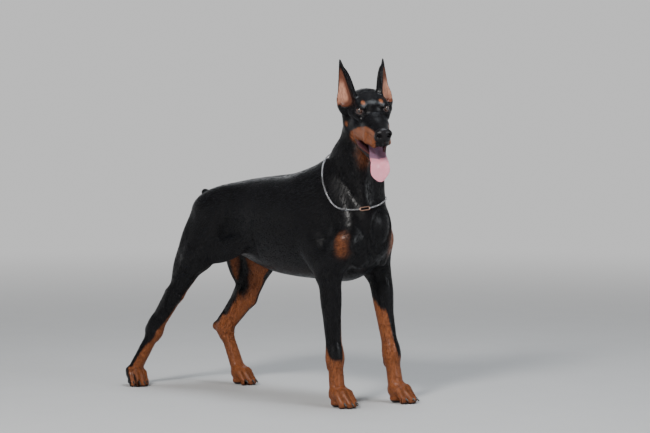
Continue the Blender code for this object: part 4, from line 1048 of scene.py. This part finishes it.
def coat_material():
    """Black and tan hair, inner ears, lips, mouth lining and nose, by the amounts kept with the vertices."""
    looks = Looks("coat", Sheen_Weight=0.02, Sheen_Roughness=0.35, Sheen_Tint=(0.45, 0.6, 0.95, 1),
                  Specular_IOR_Level=0.18)
    along, down = looks.noise(700, (0.10, 1, 1)), looks.noise(700, (1, 1, 0.10))
    hair = looks.numbers(looks.amount("upright"), along, down)
    cloud = looks.noise(28, detail=2.0)
    tan = looks.ragged(looks.amount("tan"), looks.numbers(0.5, hair, cloud), 0.7)
    lit = looks.between(hair, 0.35, 0.7)
    black = looks.colours(lit, BLACK_HAIR, BLACK_HAIR_LIT)
    rust = looks.colours(looks.numbers(0.5, lit, cloud), TAN_HAIR, TAN_HAIR_LIT)
    colour = looks.colours(tan, black, rust)
    wisps = looks.between(looks.noise(420, (1, 1, 0.14)), 0.36, 0.58)
    ear = looks.amount("ear")
    # The cup runs from dark brown where the ear amount is low, towards its inner side, to lit pink at its
    # outer part: real pink skin with painted shade deep in the cup
    pink = looks.times(looks.between(ear, 0.4, 0.9), looks.numbers(0.5, 1.0, wisps))
    cup = looks.colours(pink, EAR_SKIN, EAR_SKIN_LIT)
    colour = looks.colours(looks.between(ear, 0.02, 0.2), colour, cup)
    for place, shade in (("bare", LIP), ("lid", LID), ("mouth", MOUTH_LINING), ("nose", LEATHER)):
        colour = looks.colours(looks.amount(place), colour, shade)
    roughness = looks.numbers(looks.amount("bare"), looks.numbers(lit, 0.30, 0.40), 0.34)
    roughness = looks.numbers(looks.amount("nose"), roughness, 0.30)
    pebbles = looks.node("TexVoronoi", {"Vector": looks.node("TexCoord").outputs["Object"], "Scale": 900.0})
    grain = looks.numbers(looks.amount("nose"), hair, pebbles.outputs["Distance"])
    normal = looks.bump(grain, 0.0004, 0.35, under=looks.bump(cloud, 0.003, 0.2))
    return looks.finish(colour, roughness, normal)


# Eye: colours from the pupil outwards, and the angles from the gaze between which each gives way
PUPIL, IRIS, IRIS_LIT = (0.002, 0.002, 0.002), (0.025, 0.009, 0.004), (0.100, 0.034, 0.014)
IRIS_RIM, EYE_WHITE = (0.012, 0.008, 0.007), (0.34, 0.26, 0.25)
PUPIL_EDGE, IRIS_EDGE, RIM_EDGE = (0.30, 0.34), (0.66, 0.74), (0.80, 0.92)


def eye_material():
    """Pupil, brown iris with fine flecks, its dark rim and the white, by the angle from the gaze."""
    looks = Looks("eye", roughness=0.06, Coat_Weight=1.0, Coat_Roughness=0.02)
    angle = looks.amount("angle")
    iris = looks.colours(looks.noise(1800, detail=2.0), IRIS, IRIS_LIT)
    colour = looks.colours(looks.between(angle, *PUPIL_EDGE), PUPIL, iris)
    colour = looks.colours(looks.between(angle, *IRIS_EDGE), colour, IRIS_RIM)
    colour = looks.colours(looks.between(angle, *RIM_EDGE), colour, EYE_WHITE)
    return looks.finish(colour)


# Colours of the tongue, with the painted shade of the muzzle's shadow on its part inside the mouth, and the
# claws, and each metal's dull and bright colour and its roughness
TONGUE_PINK, TONGUE_PINK_LIT, TONGUE_SHADE = (0.74, 0.26, 0.33), (0.86, 0.36, 0.45), (0.23, 0.125, 0.185)
CLAW, CLAW_LIT = (0.008, 0.007, 0.007), (0.045, 0.035, 0.03)
STEEL = (0.30, 0.30, 0.31), (0.66, 0.66, 0.68), 0.2
BRASS = (0.40, 0.22, 0.15), (0.66, 0.42, 0.33), 0.25


def tongue_material():
    looks = Looks("tongue", roughness=0.32, Coat_Weight=0.35, Coat_Roughness=0.15, Subsurface_Weight=0.15)
    looks.shader.inputs["Subsurface Radius"].default_value = (0.006, 0.002, 0.002)
    patches, taste = looks.noise(60), looks.noise(1500, detail=1.0)
    pink = looks.colours(patches, TONGUE_PINK, TONGUE_PINK_LIT)
    # Painted shade: the inward amount darkens the tongue's part inside the mouth to TONGUE_SHADE, the
    # muzzle's shadow on it
    colour = looks.colours(looks.amount("inward"), pink, TONGUE_SHADE)
    normal = looks.bump(taste, 0.0005, 0.5)
    return looks.finish(colour, looks.numbers(taste, 0.26, 0.42), normal)


def claw_material():
    looks = Looks("claw", roughness=0.35)
    growth = looks.noise(500, (1, 1, 0.3))
    return looks.finish(looks.colours(growth, CLAW, CLAW_LIT), normal=looks.bump(growth, 0.0002, 0.4))


def metal_material(name, dull, bright, roughness):
    looks = Looks(name, Metallic=1.0)
    wear = looks.noise(400)
    return looks.finish(looks.colours(wear, dull, bright), looks.numbers(wear, roughness, roughness + 0.18),
                        looks.bump(wear, 0.0001, 0.3))


def dress(obj, material, slot, *nodes):
    """Gives a piece its material and places it in the frame."""
    obj.data.materials.clear()
    obj.data.materials.append(material)
    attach(obj, "root")
    if nodes:
        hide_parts(*nodes)


# Eyes
EYE_RINGS, EYE_TURNS = 40, 48
CORNEA_ANGLE, CORNEA_RISE = 0.75, 0.10


def turns_of(count):
    """Even turns of a circle, in radians."""
    return 2 * math.pi * np.arange(count) / count


def make_eye(name, s, material):
    """A ball about the gaze, its cornea a little raised."""
    centre, gaze, across = eye_frame(s)
    over = np.cross(gaze, across)
    angle = np.repeat(math.pi * np.arange(1, EYE_RINGS) / EYE_RINGS, EYE_TURNS)
    angle = np.concatenate([[0], angle, [math.pi]])
    turn = np.concatenate([[0], np.tile(turns_of(EYE_TURNS), EYE_RINGS - 1), [0]])
    rise = CORNEA_RISE * np.sqrt(np.clip(1 - (angle / CORNEA_ANGLE) ** 2, 0, 1))
    radius = (EYE_RADIUS + rise)[:, None]
    ring = np.outer(np.cos(turn), across) + np.outer(np.sin(turn), over)
    points = centre + radius * (np.cos(angle)[:, None] * gaze + np.sin(angle)[:, None] * ring)
    eye = new_mesh("eyeball_" + name, points, ring_faces(EYE_RINGS - 1, EYE_TURNS))
    set_values(eye, "angle", angle)
    dress(eye, material, "eye", "eye_" + name)


def ring_faces(rings, turns):
    """Faces of rings of points between a first and a last point."""
    faces = []
    last = rings * turns + 1
    for j in range(turns):
        k = (j + 1) % turns
        faces.append((0, 1 + j, 1 + k))
        for i in range(rings - 1):
            a, b = 1 + i * turns, 1 + (i + 1) * turns
            faces.append((a + j, b + j, b + k, a + k))
        a = 1 + (rings - 1) * turns
        faces.append((last, a + k, a + j))
    return faces


# Tongue: rings along it and points round it, half widths along its path, how far its tip reaches past
# the path, where the tip starts to round off, its half thickness, how its sides curl up, the depth and
# width of its groove, and where the painted shade of the muzzle's shadow on its part inside the mouth ends
TONGUE_STATIONS, TONGUE_TURNS = 64, 32
TONGUE_WIDTHS = (1.7, 2.2, 2.5, 2.6, 2.8, 2.7, 1.9)
TONGUE_TIP_REACH, TONGUE_ROUND_FROM = 0.8, 0.76
TONGUE_HALF_THICKNESS, TONGUE_CURL = 0.4, 0.22
GROOVE_DEPTH, GROOVE_WIDTH = 0.24, 0.12
TONGUE_SHADE_END, TONGUE_SHADE_SOFT = 0.40, 0.025


def smooth_curve(points, count):
    """Points on a smooth curve through some points."""
    points = np.asarray(points, float)
    ends = np.vstack([2 * points[0] - points[1], points, 2 * points[-1] - points[-2]])
    spots = np.linspace(0, len(points) - 1, count)
    i = np.minimum(spots.astype(int), len(points) - 2)
    t = (spots - i)[:, None]
    a, b, c, d = ends[i], ends[i + 1], ends[i + 2], ends[i + 3]
    return 0.5 * (2 * b + (c - a) * t + (2 * a - 5 * b + 4 * c - d) * t**2 + (3 * b - a - 3 * c + d) * t**3)


def make_tongue():
    """A strip with a groove down its middle and a rounded, thinner end."""
    spots = np.array([at_head(*spot) for spot in TONGUE_PATH])
    spots[-1] += unit(spots[-1] - spots[-2]) * TONGUE_TIP_REACH
    path = smooth_curve(spots, TONGUE_STATIONS)
    widths = smooth_curve(np.array(TONGUE_WIDTHS)[:, None], TONGUE_STATIONS)[:, 0]
    along = unit_rows(np.gradient(path, axis=0))
    side = unit_rows(LEFT - along * (along @ LEFT)[:, None])
    top = np.cross(along, side)
    top *= np.sign(top @ (FORWARD + UP))[:, None]
    share = np.linspace(0, 1, TONGUE_STATIONS)
    past = np.maximum(share - TONGUE_ROUND_FROM, 0) / (1 - TONGUE_ROUND_FROM)
    round_end = np.sqrt(np.clip(1 - past**2, 0, 1))
    thin = TONGUE_HALF_THICKNESS * (1 - 0.35 * share) * np.maximum(round_end, 0.02) ** 0.5
    turn = turns_of(TONGUE_TURNS)
    across, rise = np.cos(turn), np.sin(turn)
    flat = np.sign(rise) * np.abs(rise) ** 0.6
    groove = np.exp(-(across / GROOVE_WIDTH) ** 2) * (rise > 0) * GROOVE_DEPTH
    curl = across**2 * TONGUE_CURL * np.sin(np.pi * share)[:, None]
    half = (widths * round_end)[:, None]
    points = path[:, None] + side[:, None] * (half * across)[..., None]
    lift = thin[:, None] * flat - groove * half / 2.5 + curl
    points = points + top[:, None] * lift[..., None]
    ends = path[0] - along[0] * 0.2, path[-1] + along[-1] * 0.03
    mesh_points = np.vstack([ends[0], points.reshape(-1, 3), ends[1]])
    tongue = new_mesh("tongue_flesh", mesh_points, ring_faces(TONGUE_STATIONS, TONGUE_TURNS))
    # inward is 1 on the tongue's part inside the mouth and 0 beyond it, soft at the edge: where the painted
    # shade of the muzzle's shadow lies
    boundary = TONGUE_SHADE_END - 0.04 * np.abs(across)
    inward = fade(share[:, None] - boundary, -TONGUE_SHADE_SOFT, TONGUE_SHADE_SOFT)
    inward = np.concatenate([[1], inward.ravel(), [0]])
    set_values(tongue, "inward", inward)
    dress(tongue, tongue_material(), "tongue", "tongue")


# Claws: length past the toe, and the radius at the root
CLAW_LENGTH, CLAW_RADIUS = 1.5, 0.42
CLAW_RINGS, CLAW_TURNS = 9, 12


def claw_points(bend, tip, size):
    """One hooked horn from inside the toe."""
    ahead = unit((tip - bend) * (1, 1, 0))
    across = np.cross((0, 0, 1), ahead)
    share = np.linspace(0, 1, CLAW_RINGS)
    root = tip + vec(0, 0, 0.30) + ahead * 0.35 * size
    reach = CLAW_LENGTH * size
    centres = root + np.outer(share * reach, ahead) - np.outer(0.75 * share**1.7, (0, 0, 1.0))
    radii = CLAW_RADIUS * size * np.sqrt(1 - share * 0.93)
    along = unit_rows(np.gradient(centres, axis=0))
    over = np.cross(along, across)
    turn = turns_of(CLAW_TURNS)
    ring = 0.72 * np.cos(turn)[:, None] * across + np.sin(turn)[:, None] * over[:, None]
    points = centres[:, None] + radii[:, None, None] * ring
    return np.vstack([centres[0], points.reshape(-1, 3), centres[-1] + along[-1] * 0.06])


def make_claws(material):
    for fore, joints, size in (("forepaw_", FORELEG, FOREPAW_SIZE), ("hindpaw_", HINDLEG, HINDPAW_SIZE)):
        for name, joint in joints.items():
            points, faces = [], []
            for _, bend, tip in toes(vec(*joint["knuckle"]), joint["turn"], size):
                start = sum(len(p) for p in points)
                points.append(claw_points(bend, tip, size))
                faces += [[start + i for i in face] for face in ring_faces(CLAW_RINGS, CLAW_TURNS)]
            claws = new_mesh("claws_" + fore + name, np.vstack(points), faces)
            dress(claws, material, "coat_black")


def uphill(points):
    """The way straight out of the body at each of some points near its surface."""
    nudges = CHAIN_NUDGE * np.eye(3)
    rise = [values_at(BODY, points + nudge) - values_at(BODY, points - nudge) for nudge in nudges]
    return unit_rows(np.stack(rise, 1))


def chain_loop(stand_off):
    """Points of the chain's centre line round the neck from its long link, straight over hollows."""
    normal = unit(CHAIN_NORMAL)
    ahead = unit(np.cross(np.cross(normal, (1.0, 0.0, 0.0)), normal))
    across = np.cross(normal, ahead)
    turns = turns_of(CHAIN_POINTS)
    rays = np.outer(np.cos(turns), ahead) + np.outer(np.sin(turns), across)
    starts = CHAIN_CENTRE - np.outer(CHAIN_SAG * np.sin(turns) ** 2, (0, 0, 1.0))
    radii = []
    for start, ray in zip(starts, rays):
        outside = values_at(BODY, start + np.outer(CHAIN_REACH, ray)) > stand_off
        radii.append(CHAIN_REACH[np.argmax(outside)])
    flat = np.array(radii)[:, None] * np.stack([np.cos(turns), np.sin(turns)], 1)
    for span in range(1, CHAIN_SPANS + 1):
        chord = (np.roll(flat, span, axis=0) + np.roll(flat, -span, axis=0)) / 2
        longer = np.linalg.norm(chord, axis=1) > np.linalg.norm(flat, axis=1)
        flat[longer] = chord[longer]
    loop = starts + flat @ np.stack([ahead, across])
    for _ in range(CHAIN_LIFTS):
        loop = (2 * loop + np.roll(loop, 1, axis=0) + np.roll(loop, -1, axis=0)) / 4
        sunk = np.maximum(stand_off - values_at(BODY, loop), 0)
        loop += sunk[:, None] * uphill(loop)
    link = int(np.argmin(np.linalg.norm(loop - LINK_PLACE, axis=1)))
    return np.roll(loop, -link, axis=0)


# Chain: pitch, half length and half width of a small link, and its wire
LINK_PITCH, SMALL_LENGTH, SMALL_WIDTH, SMALL_WIRE = 0.38, 0.32, 0.19, 0.055
LINK_TWIST = math.radians(42)


def link_points(middle, along, across, half_length, half_width, wire, turns=16, sides=8):
    """Points and faces of one closed link with round ends."""
    out = np.cross(along, across)
    turn = 2 * math.pi * (np.arange(turns) + 0.5) / turns
    straight = half_length - half_width
    run = np.cos(turn) * half_width + np.sign(np.cos(turn)) * straight
    centre = middle + np.outer(run, along) + np.outer(np.sin(turn) * half_width, across)
    away = np.outer(np.cos(turn), along) + np.outer(np.sin(turn), across)
    roll = turns_of(sides)
    ring = np.cos(roll)[:, None] * away[:, None] + np.sin(roll)[:, None] * out
    points = (centre[:, None] + wire * ring).reshape(-1, 3)
    faces = []
    for i in range(turns):
        a, b = i * sides, (i + 1) % turns * sides
        faces += [(a + j, b + j, b + (j + 1) % sides, a + (j + 1) % sides) for j in range(sides)]
    return points, np.array(faces)


def evenly(points, pitch):
    """Points a pitch apart along a line of points."""
    run = np.concatenate([[0], np.cumsum(np.linalg.norm(np.diff(points, axis=0), axis=1))])
    spots = np.linspace(0, run[-1], int(run[-1] / pitch) + 1)
    return np.stack([np.interp(spots, run, points[:, i]) for i in range(3)], 1)


def make_chain():
    """Small twisted links round the neck, closed in front by one plain long link."""
    loop = chain_loop(CHAIN_RADIUS)
    middle, along = loop[0], unit(loop[1] - loop[-1])
    outward = uphill(loop[:1])[0]
    clear = LINK_LENGTH / 2 + LINK_WIRE
    rest = [point for point in loop if np.linalg.norm(point - middle) > clear + 0.3]
    line = evenly(np.array([middle + along * clear, *rest, middle - along * clear]), LINK_PITCH)
    ways = unit_rows(np.gradient(line, axis=0))
    outs = uphill(line)
    points, faces = [], []
    for i, (spot, way, out) in enumerate(zip(line, ways, outs)):
        flat = unit(np.cross(out, way))
        twist = LINK_TWIST if i % 2 else -LINK_TWIST
        across = flat * math.cos(twist) + np.cross(way, flat) * math.sin(twist)
        some, quads = link_points(spot, way, across, SMALL_LENGTH, SMALL_WIDTH, SMALL_WIRE)
        faces.append(quads + sum(len(p) for p in points))
        points.append(some)
    steel = metal_material("chain_steel", *STEEL)
    dress(new_mesh("chain_links", np.vstack(points), np.vstack(faces)), steel, "chain_steel", "collar_chain")
    brass = metal_material("ring_brass", *BRASS)
    across = unit(np.cross(along, outward))
    link = link_points(middle, along, across, LINK_LENGTH / 2, LINK_WIDTH / 2, LINK_WIRE, 32, 12)
    dress(new_mesh("long_link", *link), brass, "ring_brass", "collar_link")


# Studio: the camera as it stood to the photo, its lens, the floor and the far pale it fades into, what
# the lamps point at, and each lamp's name, place, size, power and colour
CAMERA_AZIMUTH, CAMERA_PITCH = math.radians(42), math.radians(3.258)
CAMERA_PLACE, LENS, SENSOR = (484.8, -532.1, 95.0), 135.0, 36.0
FLOOR_REACH, FLOOR_FADE, FLOOR_ROUGHNESS = 200.0, (1.5, 6.5), 0.8
FLOOR_GREYS = (0.50, 0.50, 0.50), (0.53, 0.53, 0.53)
PALE, HORIZON_LIGHT, ZENITH_LIGHT = (0.90, 0.90, 0.90), 0.80, 0.15
LIGHT_TARGET, HORIZON_RISE = (0, 0, 55), (0.05, 0.45)
LIGHTS = (
    ("key", (160, -470, 380), 110, 330.0, (1.0, 0.98, 0.95)),
    ("fill", (520, 60, 200), 180, 110.0, (0.92, 0.96, 1.0)),
    ("top", (60, 20, 420), 160, 110.0, (0.88, 0.94, 1.0)),
    ("rim", (-360, 300, 260), 200, 25.0, (0.94, 0.97, 1.0)),
)


def aim(obj, target):
    way = Vector(place_of(target)) - obj.location
    obj.rotation_euler = way.to_track_quat("-Z", "Y").to_euler()


def make_camera():
    camera = new_object("camera", bpy.data.cameras.new("camera"))
    camera.data.lens, camera.data.sensor_width = LENS, SENSOR
    camera.location = place_of(CAMERA_PLACE)
    camera.rotation_euler = (math.pi / 2 - CAMERA_PITCH, 0, CAMERA_AZIMUTH)
    bpy.context.scene.camera = camera


def make_lights():
    for name, place, size, power, colour in LIGHTS:
        light = bpy.data.lights.new(name, "AREA")
        light.size, light.energy, light.color = size * CM, power, colour
        lamp = new_object(name, light)
        lamp.location = place_of(place)
        aim(lamp, LIGHT_TARGET)


def make_sky():
    """Pale all round, and dimmer overhead."""
    world = bpy.data.worlds.new("studio")
    bpy.context.scene.world = world
    nodes = Nodes(world)
    way = nodes.node("SeparateXYZ", {0: nodes.node("TexCoord").outputs["Generated"]})
    light = nodes.between(way.outputs["Z"], *HORIZON_RISE, HORIZON_LIGHT, ZENITH_LIGHT)
    sky = nodes.tree.nodes["Background"]
    nodes.tree.links.new(light, sky.inputs["Strength"])
    sky.inputs["Color"].default_value = (*PALE, 1)


def make_floor():
    """A plain floor that fades into the pale round it."""
    bpy.ops.mesh.primitive_plane_add(size=2 * FLOOR_REACH)
    floor = bpy.context.object
    floor.name = "floor"
    looks = Looks("floor", roughness=FLOOR_ROUGHNESS, Specular_IOR_Level=0.0)
    looks.shader.inputs["Emission Color"].default_value = (*PALE, 1)
    place = looks.node("TexCoord").outputs["Object"]
    away = looks.node("VectorMath", {0: place}, operation="LENGTH").outputs["Value"]
    far = looks.between(away, *FLOOR_FADE)
    pale = looks.colours(looks.noise(6), *FLOOR_GREYS)
    looks.tree.links.new(looks.times(far, HORIZON_LIGHT), looks.shader.inputs["Emission Strength"])
    colour = looks.colours(far, pale, (0, 0, 0))
    floor.data.materials.append(looks.finish(colour, looks.numbers(far, FLOOR_ROUGHNESS, 1.0)))


# The nodes that the skin stands for
PAIRED = ("ear", "foreleg", "forepaw", "thigh", "shin", "hind_pastern", "hindpaw")
FLESH = ["torso", "neck", "head", "lower_jaw", "nose", "tail"]
FLESH += [part + "_" + side for part in PAIRED for side in SIDES]


make_camera()
make_lights()
make_sky()
make_floor()
coat = coat_material()
skin, skin_shape = make_skin()
dress(skin, coat, "coat_black", *FLESH)
make_coat(coat, *skin_shape)
eye_looks = eye_material()
for side_name, side_sign in SIDES.items():
    make_eye(side_name, side_sign, eye_looks)
make_tongue()
make_claws(claw_material())
make_chain()
